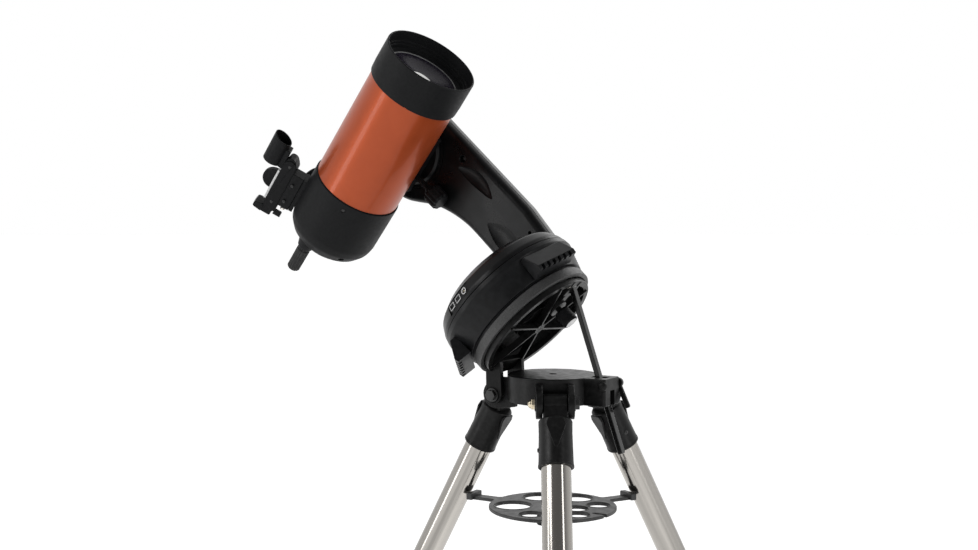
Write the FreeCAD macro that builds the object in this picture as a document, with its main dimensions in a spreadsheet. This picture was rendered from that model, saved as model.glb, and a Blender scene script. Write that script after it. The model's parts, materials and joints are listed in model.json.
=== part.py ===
import FreeCAD, Part
import Sketcher
import math
import os
import re

# Small Maksutov telescope on a single-arm motorised mount, standing on a folding
# steel tripod whose head carries a built-in tilting wedge. Millimetres, +Z up.
#
# Frames, each a Placement in the row's frame:
#   TRIPOD  origin at the tripod's axis, on the top of its head
#   leg(az) origin at a leg's pivot, -Z down the leg, +X outwards, +Y along the pivot
#   BASE    origin at the centre of the drum's lower rim, +Z along the polar axis
#   FORK    BASE turned about the polar axis to where the arm stands, arm on +Y
#   SADDLE  FORK turned a little about the altitude axle
#   TUBE    origin on the optical axis, +Z forwards, +X towards the arm, +Y up

SIZES = {
    # tripod head and wedge
    "head_top": 670, "axis_x": 134, "head_r": 61.3, "head_thick": 36, "centre_hole_r": 5,
    "boss_reach": 88, "boss_width": 44, "bar_slot": 13, "pivot_reach": 75.3, "pivot_drop": 30,
    "lug_gap": 32.7, "lug_thick": 8.5, "lug_r": 19.5, "bolt_r": 4, "running_gap": 0.05,
    "rod_r": 4.9, "rod_length": 278, "tilt": 47, "turn": -8.4, "rim_x": -27.4, "rim_lift": 66.3,
    "ear_thick": 8, "ear_gap": 50.4, "bar_length": 232.6, "bar_thick": 6.5, "bar_width": 10,
    # legs
    "lean": 27.97, "leg_r": 19.05, "leg_wall": 1.5, "tube_start": 24, "tube_end": 610,
    "sleeve_r": 22.75, "sleeve_end": 85, "tongue_r": 13.5, "tongue_width": 32,
    "inner_r": 16, "inner_start": 150, "inner_end": 700, "collar_r": 24, "collar_start": 575,
    "collar_end": 640, "collar_step": 612, "foot_r": 19, "knob_r": 14,
    # tray
    "tray_drop": 178.5, "tray_r": 86.4, "tray_thick": 4.5, "tray_reach": 129,
    "tray_arm": 17, "large_eyepiece_r": 25.6, "rear_eyepiece_r": 23, "small_eyepiece_r": 16.1, "tray_bore_r": 5,
    # drum
    "rim_r": 95, "rim_tall": 13, "drum_r": 113, "drum_seam": 56.8, "shell": 3, "dome_top": 88,
    "dome_gap": 0.9, "shaft_r": 12, "well_r": 36.5, "well_floor": 46,
    # arm
    "arm_inner": 88, "arm_split": 102, "arm_outer": 128, "arm_foot": 58, "head_x": -13,
    "arm_head_r": 75, "axis_lift": 353, "pitch": 1.3, "altitude_x": -10, "hub_r": 50, "hub_shaft_r": 20,
    # optics
    "tube_r": 65, "tube_wall": 2, "seam_rear": -67.5, "seam_front": 110.5, "front_end": 163.4,
    "front_r": 68, "rear_r": 67, "rear_end": -184, "lens_r": 51, "lens_vertex": 115.5,
    "lens_thick": 10, "lens_front_r": 150, "lens_back_r": 155, "mirror_r": 57,
    "baffle_r": 14, "focus_knob_r": 10, "focus_knob_long": 45, "focus_offset": 42,
    "eyepiece_r": 15.9, "holder_r": 19, "port_z": -122,
    # red-dot finder
    "finder_angle": 33, "finder_low": 88.5, "finder_high": 109.5, "finder_rear": -184,
    "hood_reach": 127.5, "hood_r": 13.5,
}

doc = FreeCAD.newDocument("telescope")
sheet = doc.addObject("Spreadsheet::Sheet", "sizes")
for row, (alias, value) in enumerate(SIZES.items(), start=1):
    sheet.set(f"A{row}", alias)
    sheet.set(f"B{row}", str(value))
    sheet.setAlias(f"B{row}", alias)
doc.recompute()

V = FreeCAD.Vector
X, Y, Z = V(1, 0, 0), V(0, 1, 0), V(0, 0, 1)
HERE = FreeCAD.Placement()
nodes = []


def size(alias):
    return float(sheet.get(alias))


def cells(text):
    """A sum of sheet aliases, written as FreeCAD expects it."""
    return re.sub(r"\b([a-z]\w*)\b", r"sizes.\1", text)


def bind(feature, **sizes):
    """Set sizes: text is a sum of sheet cells, a number is a plain size."""
    for name, value in sizes.items():
        if isinstance(value, str):
            feature.setExpression(name, cells(value))
        else:
            setattr(feature, name, value)


def at(x=0, y=0, z=0, about=Z, angle=0):
    return FreeCAD.Placement(V(x, y, z), FreeCAD.Rotation(about, angle))


def along(axis, x=0, y=0, z=0):
    """Placement whose +Z points along axis."""
    return FreeCAD.Placement(V(x, y, z), FreeCAD.Rotation(Z, axis))


def cylinder(radius, height, place=HERE):
    rod = doc.addObject("Part::Cylinder", "Rod")
    bind(rod, Radius=radius, Height=height)
    rod.Placement = place
    return rod


def cone(radius_low, radius_high, height, place=HERE):
    taper = doc.addObject("Part::Cone", "Taper")
    bind(taper, Radius1=radius_low, Radius2=radius_high, Height=height)
    taper.Placement = place
    return taper


def ball(radius, place=HERE):
    sphere = doc.addObject("Part::Sphere", "Ball")
    bind(sphere, Radius=radius)
    sphere.Placement = place
    return sphere


def block(x, y, z, place=HERE):
    """Box from the low and high values of each axis."""
    box = doc.addObject("Part::Box", "Block")
    bind(box, Length=x[1] - x[0], Width=y[1] - y[0], Height=z[1] - z[0])
    box.Placement = place.multiply(at(x[0], y[0], z[0]))
    return box


def hexagon(across_corners, height, place=HERE):
    nut = doc.addObject("Part::Prism", "Nut")
    bind(nut, Polygon=6, Circumradius=across_corners, Height=height)
    nut.Placement = place
    return nut


def fuse(*shapes):
    if len(shapes) == 1:
        return shapes[0]
    joined = doc.addObject("Part::MultiFuse", "Joined")
    joined.Shapes = list(shapes)
    return joined


def cut(base, *tools):
    left = doc.addObject("Part::Cut", "Left")
    left.Base = base
    left.Tool = fuse(*tools)
    return left


def common(first, second):
    shared = doc.addObject("Part::Common", "Shared")
    shared.Base = first
    shared.Tool = second
    return shared


def outline(body, plane, points):
    """Closed sketch of straight runs; every corner is held by two dimensions."""
    sketch = body.newObject("Sketcher::SketchObject", "Outline")
    origin = {item.Role: item for item in body.Origin.OriginFeatures}
    sketch.AttachmentSupport = [(origin[plane], "")]
    sketch.MapMode = "FlatFace"
    values = [tuple(corner_value(item) for item in point) for point in points]
    count = len(points)
    for i in range(count):
        start, end = values[i], values[(i + 1) % count]
        sketch.addGeometry(Part.LineSegment(V(*start, 0), V(*end, 0)), False)
    for i in range(count):
        sketch.addConstraint(Sketcher.Constraint("Coincident", i, 2, (i + 1) % count, 1))
    for i, point in enumerate(points):
        for kind, text, value in zip(("DistanceX", "DistanceY"), point, values[i]):
            index = sketch.addConstraint(Sketcher.Constraint(kind, -1, 1, i, 1, value))
            if isinstance(text, str):
                sketch.setExpression(f"Constraints[{index}]", cells(text))
    return sketch


def corner_value(text):
    """A corner's starting value: a number, or cells added and subtracted."""
    if not isinstance(text, str):
        return float(text)
    total = 0.0
    for sign, term in re.findall(r"([+-]?)\s*([\w.]+)", text):
        value = size(term) if term[0].isalpha() else float(term)
        total += -value if sign == "-" else value
    return total


def turned(points, place=HERE):
    """Body of revolution about +Z from (radius, height) corners."""
    body = doc.addObject("PartDesign::Body", "Turned")
    sketch = outline(body, "XZ_Plane", points)
    spin = body.newObject("PartDesign::Revolution", "Spin")
    spin.Profile = sketch
    spin.ReferenceAxis = (sketch, ["V_Axis"])
    spin.Angle = 360
    body.Tip = spin
    body.Placement = place
    return body


def prism(plane, points, depth, place=HERE):
    """Body padded both ways from an outline in its own XY or XZ plane."""
    body = doc.addObject("PartDesign::Body", "Padded")
    pad = body.newObject("PartDesign::Pad", "Pad")
    pad.Profile = outline(body, plane, points)
    pad.SideType = "Symmetric"
    bind(pad, Length=depth)
    body.Tip = pad
    body.Placement = place
    return body


def shaped(shape):
    """Plain feature for a shape that neither sketches nor primitives make simply."""
    feature = doc.addObject("Part::Feature", "Shaped")
    feature.Shape = shape
    return feature


def node(label, part, frame=HERE):
    part.Placement = frame.multiply(part.Placement)
    part.Label = label
    nodes.append(part)


TRIPOD = at(size("axis_x"), 0, size("head_top"))
BASE = TRIPOD.multiply(at(size("rim_x"), 0, size("rim_lift"), Y, -size("tilt")))
FORK = BASE.multiply(at(about=Z, angle=size("turn")))
AXLE = at(size("altitude_x"), 0, size("axis_lift"))
SADDLE = FORK.multiply(AXLE).multiply(at(about=Y, angle=-size("pitch"))).multiply(AXLE.inverse())
TUBE = SADDLE.multiply(FreeCAD.Placement(V(0, 0, size("axis_lift")), FreeCAD.Rotation(Y, Z, X)))
LEG_ANGLES = (-60, 60, 180)
THIRDS = (0, 2 * math.pi / 3, 4 * math.pi / 3)


def leg(angle):
    spoke = TRIPOD.multiply(at(about=Z, angle=angle))
    return spoke.multiply(at(size("pivot_reach"), 0, -size("pivot_drop"), Y, -size("lean")))


def in_frame(frame, point):
    """A point of the row's frame, seen from another frame."""
    return frame.inverse().multVec(point)


# ---------------------------------------------------------------- tripod head

def tripod_head():
    reach, drop, thick = size("pivot_reach"), size("pivot_drop"), size("head_thick")
    gap, lug = size("lug_gap"), size("lug_thick")
    solids = [cylinder("head_r", "head_thick", at(z=-thick))]
    half = size("boss_width") / 2
    solids.append(block((45, size("boss_reach")), (-half, half), (-thick, 0)))
    tools = [cylinder("centre_hole_r", 40, at(z=-38))]
    for angle in LEG_ANGLES:
        spoke = at(about=Z, angle=angle)
        for side in (-1, 1):
            middle = side * (gap + lug) / 2
            low = middle - lug / 2
            solids.append(block((45, reach), (low, low + lug), (-drop - size("lug_r"), -6), spoke))
            solids.append(cylinder("lug_r", "lug_thick", spoke.multiply(along(Y, reach, low, -drop))))
        tools.append(block((56, 100), (-gap / 2, gap / 2), (-60, -6), spoke))
        tools.append(cylinder("bolt_r", 70, spoke.multiply(along(Y, reach, -35, -drop))))
    slot = size("bar_slot") / 2
    tools.append(block((59, 81.5), (-slot, slot), (-17, 1)))
    tools.append(block((66, 95), (-slot, slot), (-40, -16)))
    tools.append(cylinder(2.6, 50, along(Y, 84.5, -25, -9)))
    node("tripod_head", cut(fuse(*solids), *tools), TRIPOD)


def head_hardware():
    node("centre_rod", cylinder("rod_r", "rod_length", at(z=-10 - size("rod_length"))), TRIPOD)
    grips = (25, 25, 33.6)
    bolts = [bolt("pivot_reach", grip, at(about=Z, angle=angle))
             for angle, grip in zip(LEG_ANGLES, grips)]
    node("pivot_bolts", fuse(*bolts), TRIPOD)


def bolt(reach, half_grip, spoke):
    """Pivot bolt along a spoke's Y, with a hex head and a domed nut."""
    x, z = size(reach), -size("pivot_drop")
    shank = cylinder("bolt_r - 0.02", 2 * half_grip, spoke.multiply(along(Y, x, -half_grip, z)))
    head = hexagon(7.5, 5.5, spoke.multiply(along(-Y, x, -half_grip, z)))
    nut = hexagon(7.5, 6.5, spoke.multiply(along(Y, x, half_grip, z)))
    dome = common(ball(5.6, spoke.multiply(at(x, -half_grip - 4.5, z))),
                  cylinder(6, 6, spoke.multiply(along(-Y, x, -half_grip - 5.5, z))))
    return fuse(shank, head, nut, dome)


def clamp_lever():
    """Bolt that pinches the boss on the latitude bar, with its hanging lever."""
    shank = cylinder(2.55, 50, along(Y, 84.5, -24, -9))
    head = common(ball(7, at(84.5, -20, -9)), block((70, 99), (-30, -22.2), (-30, 10)))
    hub = cylinder(7, 7, along(Y, 84.5, 22.3, -9))
    arm = block((-3.5, 3.5), (23.5, 28), (-36, 0), at(84.5, 0, -9, Y, -24))
    node("clamp_lever", fuse(shank, head, hub, arm), TRIPOD)


# ---------------------------------------------------------------- legs

def leg_parts(number, angle):
    frame = leg(angle)
    name = f"leg_{number}_"
    tongue = size("tongue_width") / 2
    start = size("tube_start")
    casting = cut(
        fuse(cylinder("tongue_r", "tongue_width", along(Y, 0, -tongue, 0)),
             block((-12, 12), (-tongue, tongue), (-26, 0)),
             cylinder("sleeve_r", size("sleeve_end") - 22, at(z=-size("sleeve_end")))),
        cylinder("bolt_r + running_gap", 40, along(Y, 0, -20, 0)),
        cylinder("leg_r", 90, at(z=-90 - start)))
    node(name + "casting", casting, frame)
    node(name + "tube", hollow("leg_r", start, size("tube_end")), frame)

    end, step = size("collar_end"), size("collar_step")
    collar = cut(
        fuse(cylinder("collar_r", "collar_end - collar_start", at(z=-end)),
             cylinder(9, 32, along(X, 0, 0, -627))),
        cylinder("leg_r", step, at(z=-step)),
        cylinder("inner_r + running_gap", 60, at(z=-end - 1)),
        cylinder("bolt_r", 40, along(X, 10, 0, -627)))
    node(name + "collar", collar, frame)
    grip = fuse(cylinder("knob_r", 12, along(X, 32.4, 0, -627)),
                cylinder("bolt_r - running_gap", 15.5, along(X, 17, 0, -627)))
    lobes = [cylinder(5, 12, along(X, 32.4, 12.5 * math.cos(t), -627 + 12.5 * math.sin(t)))
             for t in THIRDS]
    node(name + "knob", fuse(grip, *lobes), frame)

    node(name + "extension", hollow("inner_r", size("inner_start"), size("inner_end")), frame)
    sole = block((-800, 800), (-800, 800), (-60, 0), frame.inverse())
    foot = cut(fuse(cylinder("foot_r", 32, at(z=-722)), cone(16, 19, 6, at(z=-728))),
               cylinder("inner_r", 20, at(z=-size("inner_end"))), sole)
    node(name + "foot", foot, frame)


def hollow(radius, start, end):
    outer = cylinder(radius, end - start, at(z=-end))
    return cut(outer, cylinder(f"{radius} - leg_wall", end - start + 2, at(z=-end - 1)))


# ---------------------------------------------------------------- tray

def accessory_tray():
    thick = size("tray_thick")
    solids = [cylinder("tray_r", "tray_thick", at(z=-thick)), cylinder(12, 12, at(z=-8))]
    half = size("tray_arm") / 2
    for angle in LEG_ANGLES:
        spoke = at(about=Z, angle=angle)
        solids.append(block((60, size("tray_reach") - 4), (-half, half), (-thick, 0), spoke))
        solids.append(block((size("tray_reach") - 9, size("tray_reach")), (-14, 14),
                            (-thick, 5), spoke))
    tools = [cylinder("tray_bore_r", 30, at(z=-15))]
    for radius, angle, offset in (("large_eyepiece_r", 210, 53.5), ("rear_eyepiece_r", 137.6, 54.7),
                                  ("rear_eyepiece_r", 82.9, 57.6), ("small_eyepiece_r", 33, 62),
                                  ("small_eyepiece_r", 270, 60), ("small_eyepiece_r", 330, 62),
                                  ("small_eyepiece_r", 0, 36)):
        spoke = at(about=Z, angle=angle)
        tools.append(cylinder(radius, 10, spoke.multiply(at(offset, 0, -7))))
    tools.append(block((68, 100), (-17, -10), (-7, 2)))
    node("accessory_tray", cut(fuse(*solids), *tools), TRIPOD.multiply(at(z=-size("tray_drop"))))


def tray_knob():
    lobes = [cylinder(9, 13, at(15 * math.cos(t), 15 * math.sin(t), -26)) for t in THIRDS]
    knob = cut(fuse(cylinder(17, 16, at(z=-26)), *lobes), cylinder("tray_bore_r", 40, at(z=-40)))
    node("tray_knob", knob, TRIPOD.multiply(at(z=-size("tray_drop") + 1.3)))


# ---------------------------------------------------------------- wedge

def wedge_points():
    """Hinge and bar pivot seen from the drum's frame."""
    hinge = in_frame(BASE, TRIPOD.multVec(V(-size("pivot_reach"), 0, -size("pivot_drop"))))
    pivot = in_frame(BASE, TRIPOD.multVec(V(27.5, 0, 121.7)))
    return hinge, pivot


def tilt_plate():
    """Open cast spider under the drum, with hinge ears and a fork for the bar."""
    hinge, pivot = wedge_points()
    ring = turned([(80, -8), (88, -8), (88, -0.4), (80, -0.4)])
    webs = [block((0, 84), (-1.7, 1.7), (-10, -0.4), at(about=Z, angle=35 + 60 * k))
            for k in range(6)]
    solids = [ring, cylinder(9, 9.6, at(z=-10)), cylinder(14, 11.6, at(40, 0, -12))] + webs
    solids.append(block((40, 84), (-6, 6), (-9, -0.4)))
    inner, ear = size("ear_gap") / 2, size("ear_thick")
    for side in (-1, 1):
        low = side * (inner + ear / 2) - ear / 2
        solids.append(cylinder(13, "ear_thick", along(Y, hinge.x, low, hinge.z)))
        solids.append(prism("XZ_Plane", [(hinge.x - 12, hinge.z + 4), (hinge.x + 10, hinge.z - 8),
                                         (-62, -8), (-62, -0.4), (-86, -0.4)],
                            "ear_thick", at(0, side * (inner + ear / 2), 0)))
        solids.append(block((62, 87), (side * 8.5 - 3, side * 8.5 + 3), (-9, 3)))
    solids.append(block((-86, -62), (-inner - 2, inner + 2), (-8, -0.4)))
    tools = [cylinder("bolt_r + running_gap", 90, along(Y, hinge.x, -45, hinge.z)),
             cylinder("bolt_r - 0.5", 40, along(Y, pivot.x, -20, pivot.z)),
             cylinder("bolt_r + running_gap", 30, at(40, 0, -20)),
             block((67, 95), (-5.5, 5.5), (-12, 4))]
    node("tilt_plate", cut(fuse(*solids), *tools), BASE)
    node("bar_pin", cylinder("bolt_r - 0.5", 24, along(Y, pivot.x, -12, pivot.z)), BASE)


def latitude_bar():
    pivot = TRIPOD.inverse().multVec(BASE.multVec(wedge_points()[1]))
    lean = math.degrees(math.atan2(74 - pivot.x, pivot.z + 16))
    wide, thick = size("bar_width") / 2, size("bar_thick") / 2
    bar = cut(fuse(cylinder("bar_thick", "bar_width", along(Y, 0, -wide, 0)),
                   block((-thick, thick), (-wide, wide), (-size("bar_length"), 0))),
              cylinder("bolt_r - 0.5 + running_gap", 30, along(Y, 0, -15, 0)))
    node("latitude_bar", bar, TRIPOD.multiply(at(pivot.x, 0, pivot.z, Y, -lean)))


def mounting_knob():
    knob = fuse(cylinder(11, 22, at(40, 0, -38)), cylinder("bolt_r", 30, at(40, 0, -17)))
    node("mounting_knob", knob, BASE)


# ---------------------------------------------------------------- drum

FOOT_ANGLES = (-25, 95, 215)


def base_housing():
    """Fixed lower half of the drum: a lip, a groove, a flaring wall, three bumpers."""
    ring = turned([(89, 0), ("rim_r", 0), ("rim_r", "rim_tall"), (92.5, 13.5), (92.5, 16),
                   (98, 16.5), (110, 44), ("drum_r", 50), (112, "drum_seam"),
                   (108.6, "drum_seam"), (109, 50), (106, 44), (94, 18.5), (89, 18.5)])
    profile = [(96, 15), (122, 15), (123, 21), (113, 45), (104, 45)]
    bumpers = [prism("XZ_Plane", profile, 74, at(about=Z, angle=angle)) for angle in FOOT_ANGLES]
    hollow_side = turned([(0, 18.5), (94, 18.5), (106, 44), (109, 50), (0, 50)])
    teeth = [block((116, 126), (y, y + 5), (12, 21), at(about=Z, angle=angle))
             for angle in FOOT_ANGLES for y in range(-30, 30, 10)]
    node("base_housing", cut(fuse(ring, *bumpers), hollow_side, *teeth), BASE)


def base_floor():
    """Floor plate with the azimuth bearing, posts and the threaded mounting boss."""
    solids = [cylinder(88.8, 4, at(z=14.4)), cylinder(20, 24, at(z=18)),
              cylinder(13, 14.4, at(40, 0, 0))]
    for angle in (-55, 5, 65, 125, 185, 245):
        spoke = at(about=Z, angle=angle)
        solids.append(block((56, 58), (-8, 8), (4, 15), spoke))
        solids.append(block((58, 66), (-1, 1), (4, 15), spoke))
    tools = [cylinder("shaft_r + running_gap", 60, at(z=5)),
             cylinder("bolt_r + running_gap", 20, at(40, 0, -2))]
    node("base_floor", cut(fuse(*solids), *tools), BASE)


def toothed(radius, bore, teeth, width, place=HERE):
    """Plain spur wheel: a bored disc with notches round its rim."""
    notches = [block((-1, 1), (radius - 2, radius + 2), (-1, width + 1),
                     at(about=Z, angle=360 * k / teeth)) for k in range(teeth)]
    wheel = cut(cylinder(radius, width), cylinder(bore, width + 2, at(z=-1)), *notches)
    wheel.Placement = place
    return wheel


def turntable():
    """Rotating upper half of the drum: dome, central shaft and battery well."""
    seam = "drum_seam + dome_gap"
    dome = turned([(0, 30), ("shaft_r", 30), ("shaft_r", 42.5), (40, 42.5), (40, 84.5), (77, 84.5),
                   (98, 74), (105.5, 62), (106, seam), (111, seam), (110.5, 63), (102, 77),
                   (82, "dome_top"), ("well_r", "dome_top"), ("well_r", "well_floor"),
                   (0, "well_floor")])
    inner = size("arm_inner") - 0.2
    tools = [block((-36, 66), (inner, 140), (50, 95)),
             block((38.6, 51.4), (57.5, 66.5), (83.5, 95)),
             block((-24.2, 24.2), (-130, -94), (61.8, 78.2))]
    node("turntable", cut(dome, *tools), FORK)


def drum_fittings():
    node("azimuth_gear", toothed(62, 20.05, 48, 7, at(z=22)), BASE)
    motor = fuse(block((63, 75.5), (-20, 20), (33, 84.3)),
                 cylinder(4.2, 30, along(Y, 67.5, -15, 26)),
                 block((65, 70), (-18, -15), (24, 33)),
                 block((65, 70), (15, 18), (24, 33)))
    node("azimuth_motor", motor, FORK)
    door = fuse(cylinder(42, 3.4, at(z=88.1)), cylinder(35.8, 4.5, at(z=84)))
    node("battery_door", door, FORK)
    rocker = prism("XZ_Plane", [(-6, -1.5), (6, -1.5), (6, 1.6), (0, 0.8), (-6, 1.6)], 8)
    pivot = cylinder(1, 8.8, along(Y, 0, -4.4, 0))
    rocker_switch = fuse(rocker, pivot)
    rocker_switch.Placement = at(45, 62, 88.3)
    node("power_switch", rocker_switch, FORK)
    dome = turned([(0, 60), (108, 60), (106, 68), (98, 80), (0, 80)])
    panel = cut(common(block((-24, 24), (-115, -94.2), (62, 78)), dome),
                block((-20, -10), (-112, -97), (66, 74)), block((-5, 5), (-112, -97), (66, 74)),
                cylinder(3.2, 12, along(Y, 15, -109, 70)))
    node("port_panel", panel, FORK)


# ---------------------------------------------------------------- arm

def arm_wire(inset, y=0):
    """Side view of the arm in FORK's XZ plane: straight back, round head, swept front."""
    head_x, head_z, radius = size("head_x"), size("axis_lift"), size("arm_head_r") - inset
    foot, back = size("arm_foot") + inset, head_x + radius
    leave = math.radians(217)
    front = V(head_x + radius * math.cos(leave), y, head_z + radius * math.sin(leave))
    top = V(head_x, y, head_z + radius)
    corner = [V(52 - inset, y, foot), V(56 - inset, y, 104), V(back, y, 150), V(back, y, head_z)]
    sweep = Part.BSplineCurve()
    sweep.interpolate([front, V(-48 + inset, y, 270), V(-33 + inset, y, 222),
                       V(-31 + inset, y, 170), V(-35 + inset, y, foot)])
    edges = [Part.makeLine(corner[i], corner[i + 1]) for i in range(3)]
    edges.append(Part.Arc(corner[3], top, front).toShape())
    edges.append(sweep.toShape())
    edges.append(Part.makeLine(V(-35 + inset, y, foot), corner[0]))
    return Part.Wire(edges)


def arm_slab(inset, low, high):
    return Part.Face(arm_wire(inset, low)).extrude(V(0, high - low, 0))


def arm_parts():
    inner, split, outer = size("arm_inner"), size("arm_split"), size("arm_outer")
    wall = size("shell")
    lift, axle_x = size("axis_lift"), size("altitude_x")
    steps = ((0, split), (1.5, 110), (5, 118), (11, 124), (19, outer))
    rounded = Part.makeLoft([arm_wire(inset, y) for inset, y in steps], True, True)
    shell = rounded.cut(arm_slab(12, split - 1, 119))
    node("arm_shell", shaped(shell), FORK)
    cover = arm_slab(0, inner, split - 0.05).cut(arm_slab(2 * wall, inner + wall, split + 1))
    bore = Part.makeCylinder(size("hub_shaft_r") + size("running_gap"), 20,
                             V(axle_x, inner - 1, lift), Y)
    node("arm_cover", shaped(cover.cut(bore)), FORK)
    motor = fuse(block((-24, 18), (103, 118), (240, 288)),
                 cylinder(4, 54, along(X, -32, 110, 303)),
                 block((12, 16), (104.5, 115.5), (280, 308.5)),
                 block((-22, -18), (104.5, 115.5), (280, 308.5)))
    node("altitude_motor", motor, FORK)
    node("control_board", block((-14, 38), (117, 118.6), (100, 190)), FORK)


def saddle_parts():
    lift, axle_x = size("axis_lift"), size("altitude_x")
    inner = size("arm_inner")
    hub = fuse(cylinder("hub_r", inner - 0.4 - 82, along(Y, axle_x, 82, lift)),
               cylinder("hub_shaft_r", 14, along(Y, axle_x, inner - 1, lift)),
               cylinder(12, 16, along(Y, axle_x, 100, lift)))
    node("altitude_hub", hub, SADDLE)
    wheel = toothed(45, 12, 40, 8)
    node("altitude_gear", wheel, SADDLE.multiply(along(Y, axle_x, 106, lift)))
    low, high = axle_x - 50, axle_x + 50
    saddle = cut(fuse(block((low, high), (75.2, 82), (lift - 34, lift + 34)),
                      block((low, high), (67, 76), (lift - 34, lift - 20)),
                      block((low, high), (67, 76), (lift + 20, lift + 34))),
                 cylinder("bolt_r + running_gap", 20, at(-28, 71, lift - 40)))
    node("saddle", saddle, SADDLE)
    grip = fuse(cylinder(14, 26, at(-28, 72.5, 259)), cylinder(8, 4, at(-28, 72.5, 284)),
                cylinder("bolt_r", 46, at(-28, 71, 286)))
    node("saddle_knob", grip, SADDLE)


# ---------------------------------------------------------------- optical tube

def optical_parts():
    node("optical_tube", turned([("tube_r - tube_wall", "seam_rear"), ("tube_r", "seam_rear"),
                                 ("tube_r", "seam_front"), ("tube_r - tube_wall", "seam_front")]),
         TUBE)
    front = size("seam_front")
    node("front_cell", turned([(49, 104), (62.9, 104), (62.9, front), ("front_r", front),
                               ("front_r", "front_end"), (64, "front_end"), (62.5, 144),
                               (56, 142), (56, 138), (51.1, 136), (51.1, 123.4), (49, 123.4)]), TUBE)
    vertex, thick = size("lens_vertex"), size("lens_thick")
    blank = common(cylinder("lens_r", 20, at(z=vertex - 1)),
                   ball("lens_back_r", at(z=vertex + size("lens_back_r"))))
    hollow_front = ball("lens_front_r", at(z=vertex + thick + size("lens_front_r")))
    node("corrector_lens", cut(blank, hollow_front), TUBE)
    node("primary_mirror", turned([("baffle_r + running_gap", -66), ("mirror_r", -66),
                                   ("mirror_r", -54), (20, -58), (20, -48),
                                   ("baffle_r + running_gap", -48)]), TUBE)
    node("baffle_tube", turned([("baffle_r - 1.5", -76), ("baffle_r", -76), ("baffle_r", 50),
                                ("baffle_r - 1.5", 50)]), TUBE)
    node("dovetail_bar", cut(block((60, 75), (-19.5, 19.5), (-62, 52)),
                             cylinder(65.1, 300, at(z=-150))), TUBE)


def rear_cell():
    port, offset = size("port_z"), size("focus_offset")
    shell = turned([("baffle_r", -72.5), (60, -72.5), (60, -60), (62.9, -60), (62.9, "seam_rear"),
                    ("rear_r", "seam_rear"), ("rear_r", -146), (64.5, -158), (56, -171),
                    (42, -181), (34, "rear_end"), (16.2, "rear_end"), (16.2, -180), (33, -180),
                    (40, -177), (53, -168), (61, -156), (63.5, -145), (63.5, -77),
                    ("baffle_r", -77)])
    boss = cut(cylinder(15, 30, along(Z, -offset, 0, -183)),
               turned([(0, -80), (63, -80), (63, -145), (60, -156), (52, -168), (39, -176.5),
                       (0, -176.5)]))
    collar = cut(cylinder(22.5, 14, along(Y, 0, 58, port)), cylinder(64, 100, at(z=-170)))
    tools = [cylinder(19.05, 40, along(Y, 0, 50, port)),
             cylinder("bolt_r - 0.95", 40, at(-offset, 0, -190)),
             cylinder("bolt_r + running_gap", 30, along(X, 50, 0, port))]
    node("rear_cell", cut(fuse(shell, boss, collar), *tools), TUBE)


def focuser_parts():
    offset, long = size("focus_offset"), size("focus_knob_long")
    back = size("rear_end") - 0.6
    knob = fuse(cylinder("focus_knob_r", long - 8, at(-offset, 0, back - long + 8)),
                common(cylinder("focus_knob_r", 12, at(-offset, 0, back - long)),
                       ball(12, at(-offset, 0, back - long + 12))),
                cylinder("bolt_r - 1", 50, at(-offset, 0, back - 2)))
    node("focus_knob", knob, TUBE)
    node("rear_cap", fuse(cylinder(20, 6, at(z=size("rear_end") - 6.1)),
                          cylinder(16, 6, at(z=size("rear_end") - 1))), TUBE)
    port = size("port_z")
    node("flip_mirror", fuse(block((-20, 20), (-1.5, 1.5), (-27, 27), at(0, 0, port, X, -45)),
                             cylinder("bolt_r", 50.8, along(X, 19, 0, port))), TUBE)
    node("flip_knob", fuse(cylinder(10, 8, along(X, 70, 0, port)),
                           block((72, 78), (-3, 3), (port - 16, port))), TUBE)


def eyepiece_holder():
    port = size("port_z")
    body = fuse(cylinder("holder_r", 36, along(Y, 0, 56, port)),
                cylinder(22, 12, along(Y, 0, 80, port)),
                cylinder(4.5, 9, along(Z, 0, 86, port - 30)))
    bore = cylinder("eyepiece_r", 50, along(Y, 0, 50, port))
    screw = fuse(cylinder(2.5, 16, along(Z, 0, 86, port - 33)),
                 cylinder(6, 8, along(Z, 0, 86, port - 41)))
    node("eyepiece_holder", fuse(cut(body, bore), cut(screw, bore)), TUBE)


def finder_parts():
    """Red-dot finder, standing off the rear cell between up and the side away from the arm."""
    place = TUBE.multiply(at(about=Z, angle=size("finder_angle")))
    low, high, tail = size("finder_low"), size("finder_high"), size("finder_rear")
    rear, hood = size("rear_r"), size("hood_reach")
    node("finder_bracket", cut(block((-12, 12), (58, low - 0.1), (-158, -100)),
                               cylinder(rear + 0.1, 200, at(z=-200)),
                               block((-7, 7), (rear + 8, low - 5), (-170, -130))), place)
    body = fuse(block((-10.5, 10.5), (low, high), (tail, -88)),
                block((-10.5, 10.5), (high - 1, 122), (tail, tail + 14)),
                block((-6, 6), (high - 1, hood - 10), (-103, -72)))
    tube = cut(cylinder("hood_r", 41, at(0, hood, -103)),
               cylinder("hood_r - 2", 60, at(0, hood, -110)))
    node("finder_body", cut(body, cylinder("hood_r + running_gap", 60, at(0, hood, -110))), place)
    node("finder_hood", tube, place)
    node("finder_wheel", fuse(cylinder(15, 7, along(X, 10.9, 114, -137)),
                              cylinder(3, 2, along(X, 10.6, 106, -137))), place)


def check_and_write():
    doc.recompute()
    failed = [item.Name for item in doc.Objects if {"Invalid", "Error"} & set(item.State)]
    if failed:
        raise RuntimeError(f"failed objects: {failed}")
    for part in nodes:
        if part.Shape.isNull() or not part.Shape.isValid():
            raise RuntimeError(f"bad shape: {part.Label}")
    os.makedirs("parts", exist_ok=True)
    for part in nodes:
        part.Shape.exportStep(f"parts/{part.Label}.step")


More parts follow.
